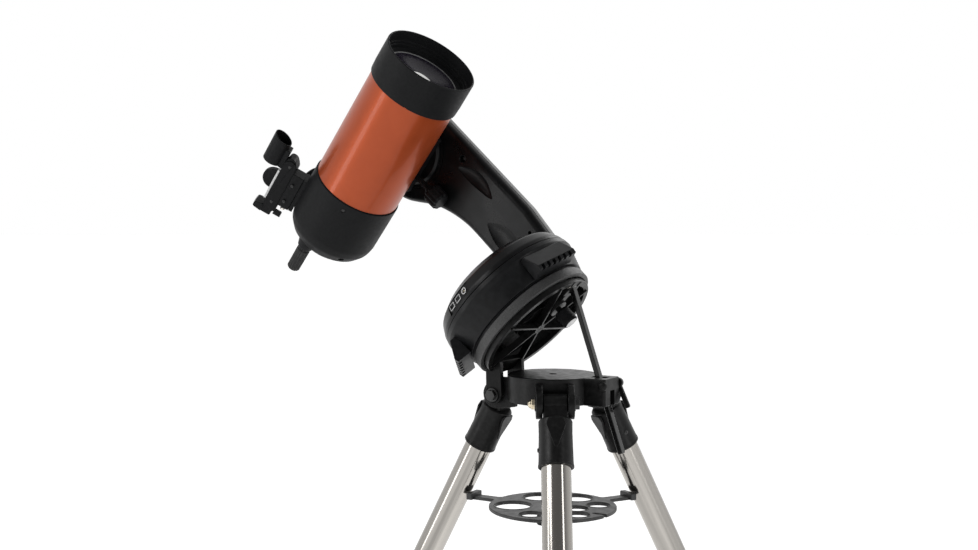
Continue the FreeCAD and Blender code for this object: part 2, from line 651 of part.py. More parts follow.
tripod_head()
head_hardware()
clamp_lever()
for number, angle in enumerate(LEG_ANGLES, start=1):
    leg_parts(number, angle)
accessory_tray()
tray_knob()
tilt_plate()
latitude_bar()
mounting_knob()
base_housing()
base_floor()
turntable()
drum_fittings()
arm_parts()
saddle_parts()
optical_parts()
rear_cell()
focuser_parts()
eyepiece_holder()
finder_parts()
check_and_write()
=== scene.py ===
import json
from math import asin, cos, pi, radians, sin, sqrt, tan, tau
import bmesh
import bpy
from mathutils import Matrix, Vector


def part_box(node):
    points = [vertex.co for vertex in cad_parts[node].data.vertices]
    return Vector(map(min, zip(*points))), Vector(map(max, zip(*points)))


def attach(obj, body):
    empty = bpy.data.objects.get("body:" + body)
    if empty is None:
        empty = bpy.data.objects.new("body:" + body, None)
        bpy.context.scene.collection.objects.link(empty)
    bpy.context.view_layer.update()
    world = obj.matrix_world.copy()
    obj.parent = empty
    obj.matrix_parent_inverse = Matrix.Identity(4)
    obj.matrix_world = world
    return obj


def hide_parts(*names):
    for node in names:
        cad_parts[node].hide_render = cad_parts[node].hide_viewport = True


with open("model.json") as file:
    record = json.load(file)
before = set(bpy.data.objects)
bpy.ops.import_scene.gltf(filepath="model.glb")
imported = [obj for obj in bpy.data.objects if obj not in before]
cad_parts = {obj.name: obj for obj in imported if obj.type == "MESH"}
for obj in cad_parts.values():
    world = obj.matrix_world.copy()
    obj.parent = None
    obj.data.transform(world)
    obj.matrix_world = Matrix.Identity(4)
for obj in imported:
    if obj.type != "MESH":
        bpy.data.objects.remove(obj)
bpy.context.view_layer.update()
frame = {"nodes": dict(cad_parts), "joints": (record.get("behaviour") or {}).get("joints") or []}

# Small Maksutov telescope on a single-arm mount and a steel tripod with a built-in wedge.
# Every piece is drawn in millimetres in its own frame, as in the CAD, and scaled once.

MM = 0.001
SIDES = 128          # facets of a large turned piece
SMALL = 40           # facets of a small one
UP, ACROSS = Vector((0, 0, 1)), Vector((0, 1, 0))

# ---- frames, from the joints

JOINTS = {joint["name"]: joint for joint in frame["joints"]}


def joint_axis(name):
    return Vector(JOINTS[name]["axis"]).normalized()


def joint_place(name):
    return Vector(JOINTS[name]["pos_m"])


def frame_of(origin, y, z):
    """Placement at origin whose +Z is z and whose +Y is as near to y as it can be."""
    z = z.normalized()
    y = (y - z * y.dot(z)).normalized()
    place = Matrix((y.cross(z), y, z)).transposed().to_4x4()
    place.translation = origin
    return place


def spun(angle):
    return Matrix.Rotation(radians(angle), 4, "Z")


def shift(x=0, y=0, z=0):
    return Matrix.Translation((x, y, z))


def facing(axis, x=0, y=0, z=0):
    """Placement, in millimetres, whose +Z points along axis."""
    return shift(x, y, z) @ Vector(axis).to_track_quat("Z", "Y").to_matrix().to_4x4()


def along_x(x=0, y=0, z=0):
    return facing((1, 0, 0), x, y, z)


def along_y(x=0, y=0, z=0):
    return facing((0, 1, 0), x, y, z)


def mm(place, matrix):
    """A millimetre placement inside a frame of the row, as a frame of the row."""
    inner = matrix.copy()
    inner.translation = matrix.translation * MM
    return place @ inner


ARM_SIDE = -joint_axis("altitude")
FORWARD = joint_axis("focus_slide")
TUBE_UP = FORWARD.cross(ARM_SIDE)
AXLE_X, AXLE_LIFT = -10, 353
AXLE = joint_place("altitude")
POLAR = joint_axis("azimuth")
BASE = frame_of(joint_place("azimuth"), ACROSS, POLAR)
FORK = frame_of(joint_place("azimuth"), ARM_SIDE, POLAR)
SADDLE = frame_of(AXLE - (AXLE_X * FORWARD + AXLE_LIFT * TUBE_UP) * MM, ARM_SIDE, TUBE_UP)
TUBE = frame_of(AXLE - AXLE_X * MM * FORWARD, TUBE_UP, FORWARD)
ROD_LOW, ROD_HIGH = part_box("centre_rod")
HEAD_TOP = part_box("tripod_head")[1].z
TRIPOD = Matrix.Translation(((ROD_LOW.x + ROD_HIGH.x) / 2, 0, HEAD_TOP))
LEG_ANGLES = {1: -60, 2: 60, 3: 180}


def leg_frame(number):
    fold = f"leg_{number}_fold"
    return frame_of(joint_place(fold), joint_axis(fold), -joint_axis(f"leg_{number}_extend"))


# ---- mesh helpers

def fillet(points, steps=4):
    """Closed outline; a point is (a, b), or (a, b, corner radius)."""
    outline = []
    for i, point in enumerate(points):
        corner = Vector(point[:2])
        if len(point) == 2 or not point[2]:
            outline.append(corner)
            continue
        before = (Vector(points[i - 1][:2]) - corner).normalized()
        after = (Vector(points[(i + 1) % len(points)][:2]) - corner).normalized()
        half = before.angle(after) / 2
        middle = corner + (before + after).normalized() * point[2] / sin(half)
        start = corner + before * point[2] / tan(half) - middle
        end = corner + after * point[2] / tan(half) - middle
        sweep = start.angle(end)
        for k in range(steps + 1):
            t = k / steps
            outline.append(middle + (start * sin((1 - t) * sweep)
                                     + end * sin(t * sweep)) / sin(sweep))
    return outline


def spline(marks, count):
    """Even run of points on a smooth curve through the marks, without the last mark."""
    knots = [marks[0] * 2 - marks[1]] + marks + [marks[-1] * 2 - marks[-2]]
    run = []
    for a, b, c, d in zip(knots, knots[1:], knots[2:], knots[3:]):
        run += [(b * 2 + (c - a) * t + (a * 2 - b * 5 + c * 4 - d) * t * t
                 + (b * 3 - a - c * 3 + d) * t ** 3) / 2 for t in (k / count for k in range(count))]
    return run


def lobed(radius, depth, count):
    """Outline of a three-lobed hand knob."""
    outline = []
    for k in range(count):
        turn = tau * k / count
        reach = radius + depth * cos(3 * turn)
        outline.append((reach * cos(turn), reach * sin(turn)))
    return outline


def oblong(wide, tall, radius):
    """Outline of a rectangle, by its half width, half height and corner radius."""
    return [(x, y, radius) for x, y in ((-wide, -tall), (wide, -tall), (wide, tall), (-wide, tall))]


def skinned(rows, closed=True):
    """Mesh through rows of points; closed joins the last row to the first."""
    bm = bmesh.new()
    grid = [[bm.verts.new(point) for point in row] for row in rows]
    count = len(grid[0])
    for k in range(len(grid) if closed else len(grid) - 1):
        low, high = grid[k], grid[(k + 1) % len(grid)]
        for i in range(count):
            j = (i + 1) % count
            bm.faces.new((low[i], low[j], high[j], high[i]))
    if not closed:
        bm.faces.new(reversed(grid[0]))
        bm.faces.new(grid[-1])
    bmesh.ops.remove_doubles(bm, verts=bm.verts, dist=1e-4)
    bmesh.ops.recalc_face_normals(bm, faces=bm.faces)
    return bm


def turned(points, sides=SIDES, wave=0.0, ribs=0):
    """Solid of revolution about Z from a closed (radius, height) outline, ribbed if asked."""
    rows = []
    ring = fillet(points)
    for k in range(sides):
        turn = tau * k / sides
        grow = 1 + wave * cos(ribs * turn)
        rows.append([(p.x * grow * cos(turn), p.x * grow * sin(turn), p.y) for p in ring])
    return skinned(rows)


def soften(bm, width, angle=30, segments=3):
    """Round every edge sharper than angle."""
    sharp = [edge for edge in bm.edges if len(edge.link_faces) == 2
             and edge.calc_face_angle() > radians(angle)]
    if width and sharp:
        bmesh.ops.bevel(bm, geom=sharp, offset=width, offset_type="OFFSET", segments=segments,
                        profile=0.5, affect="EDGES", clamp_overlap=True)
    return bm


def slab(outline, low, high, edge=0.5):
    """Outline in XY swept from low to high, with rounded rims."""
    ring = fillet(outline)
    return soften(skinned([[(p.x, p.y, low) for p in ring], [(p.x, p.y, high) for p in ring]],
                          closed=False), edge, 50)


def upright(outline, low, high, edge=0.5):
    """Outline in XZ swept along Y from low to high."""
    bm = slab(outline, -high, -low, edge)
    bm.transform(Matrix.Rotation(pi / 2, 4, "X"))
    return bm


def bar(x, y, z, edge=0.5):
    return slab([(x[0], y[0]), (x[1], y[0]), (x[1], y[1]), (x[0], y[1])], z[0], z[1], edge)


def rod(radius, low, high, edge=0.5, sides=SMALL):
    return turned([(0, low), (radius, low, edge), (radius, high, edge), (0, high)], sides)


def hexagon(radius, low, high, edge=0.4):
    return slab([(radius * cos(t), radius * sin(t))
                 for t in (tau * k / 6 for k in range(6))], low, high, edge)


def screw_head(radius, height, slot=0.28):
    """Domed cross-head screw standing on z = 0."""
    dome = turned([(0, -0.6), (radius, -0.6), (radius, height * 0.35, 0.2),
                   (radius * 0.6, height * 0.9, 0.3), (0, height)], 24)
    cross = [bar((-radius * 0.6, radius * 0.6), (-radius * slot / 2, radius * slot / 2),
                 (height * 0.4, height + 1), 0) for _ in range(2)]
    cross[1].transform(spun(90))
    return carved(dome, *cross)


def placed(name, data):
    """New object in the scene."""
    thing = bpy.data.objects.new(name, data)
    bpy.context.scene.collection.objects.link(thing)
    return thing


def moved(bm, matrix):
    bm.transform(matrix)
    return bm


def joined(*parts):
    whole = bmesh.new()
    for part in parts:
        mesh = bpy.data.meshes.new("part")
        part.to_mesh(mesh)
        part.free()
        whole.from_mesh(mesh)
        bpy.data.meshes.remove(mesh)
    return whole


def scratch(bm):
    mesh = bpy.data.meshes.new("scratch")
    bm.to_mesh(mesh)
    bm.free()
    return placed("scratch", mesh)


def carved(body, *tools, operation="DIFFERENCE"):
    """Body less the tools, or joined to them."""
    first = scratch(body)
    for tool in tools:
        second = scratch(tool)
        boolean = first.modifiers.new("boolean", "BOOLEAN")
        boolean.object = second
        boolean.operation = operation
        boolean.solver = "EXACT"
        bpy.context.view_layer.update()
        shape = first.evaluated_get(bpy.context.evaluated_depsgraph_get())
        mesh = bpy.data.meshes.new_from_object(shape)
        first.modifiers.clear()
        first.data = mesh
        bpy.data.objects.remove(second)
    bm = bmesh.new()
    bm.from_mesh(first.data)
    bpy.data.objects.remove(first)
    bmesh.ops.remove_doubles(bm, verts=bm.verts, dist=1e-4)
    return bm


def merged(body, *others):
    return carved(body, *others, operation="UNION")


def piece(name, bm, place, body, nodes=(), finish="black_plastic", crease=35):
    """Finished piece: drawn in millimetres in place, riding on a body, standing for CAD nodes."""
    bm.transform(Matrix.Scale(MM, 4))
    bmesh.ops.recalc_face_normals(bm, faces=bm.faces)
    mesh = bpy.data.meshes.new(name)
    bm.to_mesh(mesh)
    bm.free()
    mesh.shade_smooth()
    mesh.set_sharp_from_angle(angle=radians(crease))
    mesh.materials.append(FINISH[finish])
    thing = placed(name, mesh)
    thing.matrix_world = place
    weights = thing.modifiers.new("even_normals", "WEIGHTED_NORMAL")
    weights.keep_sharp = True
    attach(thing, body)
    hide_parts(*nodes)
    return thing


# ---- materials

FINISH = {}


def finish(name, colours, rough, grain, bump=0.1, spread=3.0, stretch=(1, 1, 1), fine=600.0,
           tint=(1, 1, 1), specular=0.5, **shader):
    """Procedural finish: colour drifts over colours, roughness over rough, with a fine grain.

    A colour given as one number is a grey, times the tint.

    grain is how many patches there are to a metre, fine how many grains; stretch is how
    much closer they lie along each axis.
    """
    material = bpy.data.materials.new(name)
    material.use_nodes = True
    nodes, links = material.node_tree.nodes, material.node_tree.links
    surface = nodes["Principled BSDF"]
    surface.inputs["Specular IOR Level"].default_value = specular
    for socket, value in shader.items():
        surface.inputs[socket.replace("_", " ")].default_value = value
    where = nodes.new("ShaderNodeTexCoord")
    mapping = nodes.new("ShaderNodeMapping")
    mapping.inputs["Scale"].default_value = stretch
    links.new(where.outputs["Object"], mapping.inputs["Vector"])

    def noise(scale, detail):
        texture = nodes.new("ShaderNodeTexNoise")
        texture.inputs["Scale"].default_value = scale
        texture.inputs["Detail"].default_value = detail
        links.new(mapping.outputs["Vector"], texture.inputs["Vector"])
        return texture.outputs["Fac"]

    ramp = nodes.new("ShaderNodeValToRGB")
    stops = ramp.color_ramp.elements
    while len(stops) < len(colours):
        stops.new(0.5)
    for i, colour in enumerate(colours):
        if isinstance(colour, float):
            colour = tuple(colour * part for part in tint)
        stops[i].position = 0.5 + (i / (len(colours) - 1) - 0.5) / spread
        stops[i].color = (*colour, 1)
    links.new(noise(grain, 6), ramp.inputs["Fac"])
    links.new(ramp.outputs["Color"], surface.inputs["Base Color"])
    blotch = nodes.new("ShaderNodeMapRange")
    blotch.inputs["From Min"].default_value = 0.35
    blotch.inputs["From Max"].default_value = 0.65
    blotch.inputs["To Min"].default_value, blotch.inputs["To Max"].default_value = rough
    links.new(noise(grain * 0.45, 3), blotch.inputs["Value"])
    links.new(blotch.outputs["Result"], surface.inputs["Roughness"])
    relief = nodes.new("ShaderNodeBump")
    relief.inputs["Strength"].default_value = bump
    relief.inputs["Distance"].default_value = 0.0004
    links.new(noise(fine, 4), relief.inputs["Height"])
    links.new(relief.outputs["Normal"], surface.inputs["Normal"])
    FINISH[name] = material
    return material


COOL = (0.94, 0.98, 1.06)
WARM = (1.05, 1.0, 0.93)
DULL = 0.10          # specular level of the matt plastics
finish("orange_tube", [(0.29, 0.047, 0.010), (0.315, 0.052, 0.012), (0.34, 0.057, 0.014)],
       (0.34, 0.38), 45, 0.0, 1.0, fine=900, Metallic=0.45, specular=0.2, Coat_Weight=0.22,
       Coat_Roughness=0.08)
finish("black_plastic", [0.004, 0.006, 0.009], (0.38, 0.46), 350, 0.10, fine=1500, specular=DULL,
       tint=COOL)
finish("soft_black", [0.005, 0.007], (0.46, 0.54), 300, 0.14, fine=1400, specular=DULL, tint=COOL)
finish("inner_black", [0.0015, 0.003], (0.5, 0.7), 300, 0.1, fine=900, specular=0.12)
finish("gloss_black", [0.003, 0.004, 0.006], (0.27, 0.33), 60, 0.0, fine=1300, specular=0.14,
       tint=COOL)
finish("drum_black", [0.004, 0.006, 0.008], (0.30, 0.38), 120, 0.06, fine=1500, specular=0.15,
       tint=COOL)
finish("lip_grey", [0.022, 0.032, 0.045], (0.45, 0.55), 700, 0.3, fine=1200, specular=0.4)
finish("cast_black", [0.004, 0.006, 0.009], (0.30, 0.40), 200, 0.12, fine=1300, specular=0.15)
finish("black_metal", [0.010, 0.016], (0.35, 0.5), 260, 0.2, fine=900)
finish("bar_black", [0.003, 0.005, 0.008], (0.14, 0.20), 400, 0.03, fine=1400,
       stretch=(1, 1, 0.1), specular=0.30, Coat_Weight=0.12, Coat_Roughness=0.05)
# Painted reflection: the steel's colour runs from near black to pale in long streaks along each
# tube's axis, standing in for the dark and light bands a polished tube reflects.
finish("steel", [0.05, 0.34, 0.72], (0.12, 0.20), 48, 0.01, 1.25, (1, 1, 0.02), 2200,
       Metallic=1.0, tint=WARM)
finish("bright", [0.55, 0.75], (0.10, 0.22), 400, 0.04, fine=1500, Metallic=1.0, tint=WARM)
finish("silver", [0.36, 0.50], (0.25, 0.38), 500, 0.05, fine=1600, Metallic=0.85)
finish("edge_grey", [0.09, 0.15], (0.30, 0.40), 400, 0.04, fine=1600, specular=0.4)
# The secondary spot's finish glows: its emission is a painted reflection on the silvered spot, not
# a lamp.
finish("spot_silver_painted_glow", [0.74, 0.86], (0.30, 0.38), 120, 0.01, fine=1200, Metallic=0.3,
       Emission_Color=(0.9, 0.9, 0.84, 1), Emission_Strength=0.25)
finish("zinc", [(0.50, 0.43, 0.30), (0.70, 0.62, 0.48)], (0.14, 0.26), 500, 0.06, fine=1500,
       Metallic=1.0)
finish("lens_glass", [(0.016, 0.012, 0.024), (0.026, 0.020, 0.036)], (0.06, 0.12), 40, 0.0, 1.2,
       Transmission_Weight=0.5, IOR=1.3)
finish("window", [(0.10, 0.03, 0.03), (0.16, 0.06, 0.05)], (0.03, 0.08), 60, 0.0,
       Transmission_Weight=0.5, IOR=1.5)
finish("mirror_glass", [0.86, 0.93], (0.01, 0.03), 60, 0.0, Metallic=1.0)
finish("rubber", [0.007, 0.012], (0.48, 0.62), 300, 0.2, fine=900, specular=0.3)
finish("board", [(0.01, 0.10, 0.03), (0.02, 0.17, 0.06)], (0.35, 0.5), 500, 0.15, fine=900)
finish("brass_gear", [(0.60, 0.40, 0.13), (0.76, 0.55, 0.22)], (0.2, 0.32), 350, 0.08,
       Metallic=1.0)
finish("motor", [0.30, 0.45], (0.28, 0.4), 350, 0.1, Metallic=1.0)
finish("tray_grey", [0.012, 0.016, 0.022], (0.36, 0.46), 200, 0.12, fine=1300, specular=0.4)


# ---- optical tube

TUBE_R, SEAM_REAR, SEAM_FRONT, FRONT_END = 65, -67.5, 110.5, 163.4
NOTCH_TURN = -146.3  # bearings of the small marks, about the tube's axis
SCREW_TURN, SCREW_Z = -148.1, -79.1
DIMPLE_TURN = -115.3


def optical_tube():
    sheet = turned([(TUBE_R - 2, SEAM_REAR, 0.4), (TUBE_R, SEAM_REAR, 0.5),
                    (TUBE_R, SEAM_FRONT, 0.5), (TUBE_R - 2, SEAM_FRONT, 0.4)], 160)
    piece("tube_sheet", sheet, TUBE, "optics", ["optical_tube"], "orange_tube")
    baffle = turned([(12.5, -76), (14, -76, 0.3), (14, 50, 0.4), (12.5, 50, 0.4)], 64)
    piece("baffle_pipe", baffle, TUBE, "optics", ["baffle_tube"], "inner_black")
    bowl = turned([(14.1, -66), (57, -66, 0.8), (57, -54, 0.6), (38, -57, 4), (20, -58.2),
                   (20, -48, 0.8), (14.1, -48)], 96)
    piece("primary", bowl, TUBE, "mirror", ["primary_mirror"], "mirror_glass")


def front_ring():
    """Deep dew ring with stepped light baffles behind its rounded rim."""
    outline = [(49, 104), (62.9, 104), (62.9, SEAM_FRONT + 0.2), (65.3, SEAM_FRONT + 0.2, 0.3),
               (67.4, SEAM_FRONT, 0.8), (68, 124, 20), (67.7, FRONT_END, 1.5),
               (65.2, FRONT_END, 0.9), (63.9, 148.6, 0.6), (62.4, 148.0, 0.3), (62.0, 144.6, 0.3),
               (60.4, 144.0, 0.3), (59.6, 138.6, 0.5), (53.6, 137.0, 0.3), (51.1, 135.4),
               (51.1, 123.4), (49, 123.4)]
    notch = moved(rod(1.8, -3, 3, 0, 20), along_x(67.5, 0, SEAM_FRONT + 0.6))
    ring = carved(turned(outline, 192), moved(notch, spun(NOTCH_TURN)))
    piece("dew_ring", ring, TUBE, "optics", ["front_cell"], "soft_black", 40)
    lip = turned([(51.1, 134.6), (52.9, 136.2), (52.9, 137.3, 0.2), (52.1, 137.5, 0.2),
                  (51.1, 136.6)], 160)
    piece("lens_retainer", lip, TUBE, "optics", [], "edge_grey")


def corrector():
    """Hollow-faced meniscus with the silvered secondary spot at its centre."""
    vertex, thick, rim = 118.4, 10, 51
    hollow_front, back = 166, 172

    def sag(radius, r):
        return radius - sqrt(radius * radius - r * r)

    def face(r):
        return vertex + thick + sag(hollow_front, r)

    reach = [rim * k / 24 for k in range(25)]
    lens = [(r, vertex + sag(back, r)) for r in reach]
    lens += [(r, face(r)) for r in reversed(reach)]
    piece("meniscus", turned(lens, 128), TUBE, "optics", ["corrector_lens"], "lens_glass", 50)
    spot = [17.5 * k / 10 for k in range(11)]
    shape = [(r, face(r) + 0.15) for r in spot]
    shape += [(r, face(r) + 0.4) for r in reversed(spot)]
    # The spot's faint glow is painted reflection, from the emission in its finish.
    piece("secondary_spot", turned(shape, 72), TUBE, "optics", [], "spot_silver_painted_glow")


REAR_END = -184
PORT_Z = -122
FOCUS_OFFSET = 42


def rear_bell():
    """Bell-shaped rear cell with a fairing that runs back over the focus shaft."""
    outline = [(14, -72.5), (60, -72.5), (60, -60), (62.9, -60), (62.9, SEAM_REAR - 0.2),
               (65.2, SEAM_REAR - 0.2, 0.3), (67, SEAM_REAR - 0.9, 0.7), (67, -146, 30),
               (64.5, -158, 16), (56, -171, 16), (42, -181, 14), (34, REAR_END, 5),
               (16.2, REAR_END, 0.6), (16.2, -180), (33, -180), (40, -177), (53, -168),
               (61, -156), (63.5, -145), (63.5, -77), (14, -77)]
    bell = turned(outline, 160)
    rows = []
    for k in range(9):
        t = k / 8
        radius = 11.8 + 7 * t
        height = REAR_END + 0.2 + 35 * t
        centre = FOCUS_OFFSET + 1.6 * t
        rows.append([(-centre + radius * cos(a), radius * sin(a), height)
                     for a in (tau * i / 48 for i in range(48))])
    fairing = soften(skinned(rows, closed=False), 1.6, 50)
    bell = merged(bell, fairing)
    port = moved(rod(19.05, 0, 40, 0, 64), along_y(0, 50, PORT_Z))
    shaft = rod(3.2, -200, -170, 0, 24)
    shaft.transform(shift(-FOCUS_OFFSET, 0, 0))
    side = radians(DIMPLE_TURN)
    outward = Vector((cos(side), sin(side), -0.75)).normalized()
    dimple = turned([(0, -3), (2.6, -3), (2.9, 0), (4.6, 1.6), (4.8, 8), (0, 8)], 32)
    dimple.transform(facing(outward, 59.4 * cos(side), 59.4 * sin(side), -160))
    socket = moved(rod(3.3, -1.3, 5, 0, 28), spun(SCREW_TURN) @ along_x(67, 0, SCREW_Z))
    bell = carved(bell, port, shaft, dimple, socket)
    piece("rear_bell", bell, TUBE, "optics", ["rear_cell"], "soft_black", 38)
    rim = turned([(19.1, 63), (22.5, 63), (22.5, 68.6, 0.6), (19.1, 68.6, 0.4)], 64)
    piece("port_rim", moved(rim, along_y(0, 0, PORT_Z)), TUBE, "optics", [], "soft_black")
    screw = moved(screw_head(2.5, 1.0), spun(SCREW_TURN) @ along_x(66, 0, SCREW_Z))
    piece("cell_screw", screw, TUBE, "optics", [], "black_metal")
    seam = turned([(62.9, SEAM_REAR - 0.9), (65.25, SEAM_REAR - 0.9), (65.25, SEAM_REAR + 0.5, 0.2),
                   (65.05, SEAM_REAR + 0.5)], 128)
    piece("tube_seam", seam, TUBE, "optics", [], "inner_black")


def rear_fittings():
    back = REAR_END - 0.6
    knob = turned([(0, back - 45), (5.4, back - 45, 2.4), (9.4, back - 41.5, 3),
                   (9.7, back - 5, 0.6), (8.4, back - 3.6, 0.6), (8.4, back - 1.2),
                   (7.2, back, 0.6), (3, back), (3, back + 40), (0, back + 40)], 256, 0.05, 16)
    knob.transform(shift(-FOCUS_OFFSET, 0, 0))
    piece("focus_grip", knob, TUBE, "focuser", ["focus_knob"], "rubber", 45)
    cap = turned([(0, REAR_END - 6.1), (18.2, REAR_END - 6.1, 1.2), (20, REAR_END - 4.6, 0.8),
                  (20, REAR_END - 0.1, 0.4), (16, REAR_END - 0.1), (16, REAR_END + 5, 0.6),
                  (0, REAR_END + 5)], 180, 0.006, 60)
    piece("visual_back_cap", cap, TUBE, "optics", ["rear_cap"])
    mirror = slab(oblong(20, 27, 6), -1.5, 1.5, 0.3)
    mirror.transform(shift(0, 0, PORT_Z) @ Matrix.Rotation(-pi / 4, 4, "X"))
    stem = moved(rod(3.9, 0, 50.8, 0.3, 32), along_x(19, 0, PORT_Z))
    piece("flip_plate", joined(mirror, stem), TUBE, "flip", ["flip_mirror"], "mirror_glass")
    hub = turned([(0, 0), (9.2, 0), (10, 1.2, 0.5), (9.4, 8, 1.2), (0, 8)], 96, 0.02, 16)
    lever = bar((2, 7.6), (-3, 3), (-16, 0), 1.0)
    lever.transform(shift(70, 0, PORT_Z))
    piece("flip_lever", joined(moved(hub, along_x(70, 0, PORT_Z)), lever), TUBE, "flip",
          ["flip_knob"])


def eyepiece_port():
    """Short drawtube with a knurled collar and its clamp screw."""
    body = turned([(15.9, 56), (19, 56, 0.3), (19, 69.6, 0.5), (22, 70.4, 0.6), (22, 78.6, 0.9),
                   (15.9, 79.4, 0.5)], 96)
    collar = turned([(20, 71.6), (22.1, 71.6, 0.3), (22.1, 77.4, 0.3), (20, 77.4)], 240, 0.004, 60)
    body = moved(joined(body, collar), along_y(0, 0, PORT_Z))
    boss = rod(4.4, 0, 9, 0.6)
    boss.transform(shift(0, 74.5, PORT_Z - 30))
    screw = joined(rod(2.4, -3, 13, 0.2, 24),
                   turned([(0, -11), (5.4, -11, 1), (5.9, -4, 0.8), (0, -3)], 120, 0.04, 18))
    screw.transform(shift(0, 74.5, PORT_Z - 30))
    piece("drawtube", joined(body, boss), TUBE, "optics", ["eyepiece_holder"])
    piece("drawtube_screw", screw, TUBE, "optics", [], "bright")


def dovetail():
    rows = []
    for z in (-62, 52):
        outline = fillet([(66.6, -12), (72, -19.2, 0.8), (74.8, -19.2, 0.8), (74.8, 19.2, 0.8),
                          (72, 19.2, 0.8), (66.6, 12)])
        outline += [Vector((sqrt(65.1 ** 2 - y * y), y)) for y in (12, 6, 0, -6, -12)]
        rows.append([(p.x, p.y, z) for p in outline])
    rail = soften(skinned(rows, closed=False), 0.6, 60)
    piece("dovetail_rail", rail, TUBE, "optics", ["dovetail_bar"], "silver")


# ---- red-dot finder

FINDER = TUBE @ spun(33)
BODY_LOW, BODY_HIGH, HOOD, TAIL = 88.5, 109.5, 127.5, -184
SHOE_BACK, SHOE_FRONT = -158, -100
DIAL_Y, DIAL_Z = 114, -137
HOOD_SLANT = 0.30    # how far the hood's front end leans forward, for its height


def finder():
    """Drawn with Y away from the tube and X to the arm's side."""
    shoe = bar((-11, 11), (72, BODY_LOW + 1), (SHOE_BACK - 2, SHOE_FRONT), 1.0)
    seat = turned([(66.9, SHOE_BACK), (72.5, SHOE_BACK, 0.6), (72.5, SHOE_FRONT, 0.6),
                   (66.9, SHOE_FRONT)], 160)
    part = bar((-12, 12), (60, 76), (SHOE_BACK, SHOE_FRONT), 0.0)
    shoe = joined(shoe, carved(seat, part, operation="INTERSECT"))
    piece("finder_shoe", shoe, FINDER, "optics", ["finder_bracket"])

    half = 11.4
    side = [(TAIL, BODY_LOW + 4, 2), (TAIL + 8, BODY_LOW + 4, 2), (TAIL + 11, BODY_LOW, 4),
            (-92, BODY_LOW, 9), (-80, BODY_LOW + 8, 8), (-80, BODY_HIGH - 3, 5),
            (-94, BODY_HIGH, 2), (TAIL, BODY_HIGH, 2)]
    core = moved(slab(side, -half + 1.6, half - 1.6, 0.8), facing_side())
    plates = []
    for x in (-half, half - 2.2):
        plate = slab([(TAIL + 15, 90.4, 6), (-87, 90.4, 9.2), (-83, 99, 9.2), (-87, 108.6, 9.2),
                      (TAIL + 15, 108.6, 6)], x, x + 2.2, 0.5)
        plates.append(moved(plate, facing_side()))
    block = moved(slab([(TAIL, BODY_HIGH - 2), (TAIL + 13, BODY_HIGH - 2), (TAIL + 11, 121.6, 3),
                        (TAIL + 2, 121.6, 3)], -half, half, 0.9), facing_side())
    neck = bar((-8.5, 8.5), (BODY_HIGH - 1, HOOD - 6), (-104, -72), 1.2)
    tongue = moved(slab([(TAIL + 1, 78), (TAIL + 9, 78, 2), (TAIL + 9, 90), (TAIL + 1, 90)],
                        -3, 3, 0.6), facing_side())
    ring = carved(neck, moved(rod(14.6, -110, -60, 0, 64), shift(0, HOOD, 0)))
    piece("finder_frame", joined(core, block, ring, tongue), FINDER, "optics", ["finder_body"])
    piece("finder_plates", joined(*plates), FINDER, "optics", [], "soft_black")
    rail = bar((-5, 5), (BODY_HIGH - 0.4, BODY_HIGH + 3.4), (-164, -110), 0.8)
    rail_end = bar((-4.5, 4.5), (121, 122.2), (TAIL + 3, TAIL + 11), 0.4)
    piece("finder_rail", joined(rail, rail_end), FINDER, "optics", [], "silver")
    screws = []
    for y, z in ((99, -93), (99, TAIL + 24), (83, -118), (83, -148)):
        stand = -half + (0.2 if y > 90 else -1.6)
        screws.append(moved(screw_head(2.4, 1.1), facing((-1, 0, 0), stand, y, z)))
    piece("finder_screws", joined(*screws), FINDER, "optics", [], "black_metal")
    thumb = joined(rod(1.8, -1, 9, 0.2, 20), moved(rod(3.8, 0, 3.4, 0.6, 28), shift(0, 0, 7)))
    thumb.transform(facing((0, -0.2, -1), 0, 82, -158))
    piece("finder_thumbscrew", thumb, FINDER, "optics", [], "bright")

    tube = turned([(12.4, -103), (14.5, -103, 0.5), (14.5, -62, 0.8), (13.2, -62, 0.5),
                   (12.4, -66)], 96)
    for vert in tube.verts:
        if vert.co.z > -80:
            vert.co.z += 1.5 + vert.co.y * HOOD_SLANT
    tube.transform(shift(0, HOOD, 0))
    piece("finder_tube", tube, FINDER, "optics", ["finder_hood"], "soft_black")
    glass = turned([(0, -94), (12.5, -92), (12.5, -90.6), (0, -92.6)], 64)
    glass.transform(shift(0, HOOD, 0))
    piece("finder_window", glass, FINDER, "optics", [], "window")
    dial = turned([(0, -2), (15.6, -2, 0.6), (16.2, -1.2), (16.2, 6.2), (15.4, 7, 0.6), (9, 7),
                   (8.4, 6.2), (0, 6.2)], 288, 0.013, 48)
    stub = moved(rod(3, 0, 2, 0.2, 24), along_x(10.6, 106, DIAL_Z))
    piece("finder_knob", joined(moved(dial, along_x(12, DIAL_Y, DIAL_Z)), stub), FINDER,
          "finder_dial", ["finder_wheel"])


def facing_side():
    """Outline (z, y) of a side view, swept along X."""
    return Matrix(((0, 0, 1, 0), (0, 1, 0, 0), (1, 0, 0, 0), (0, 0, 0, 1)))


# ---- saddle and arm

ARM_INNER, ARM_SPLIT, ARM_OUTER = 88, 102, 128
HEAD_X, HEAD_R, FOOT_Z = -13, 75, 58
ARM_SCREW_X, ARM_SCREW_Z = 42, 278
GRIP_X, GRIP_Y = -28, 72.5


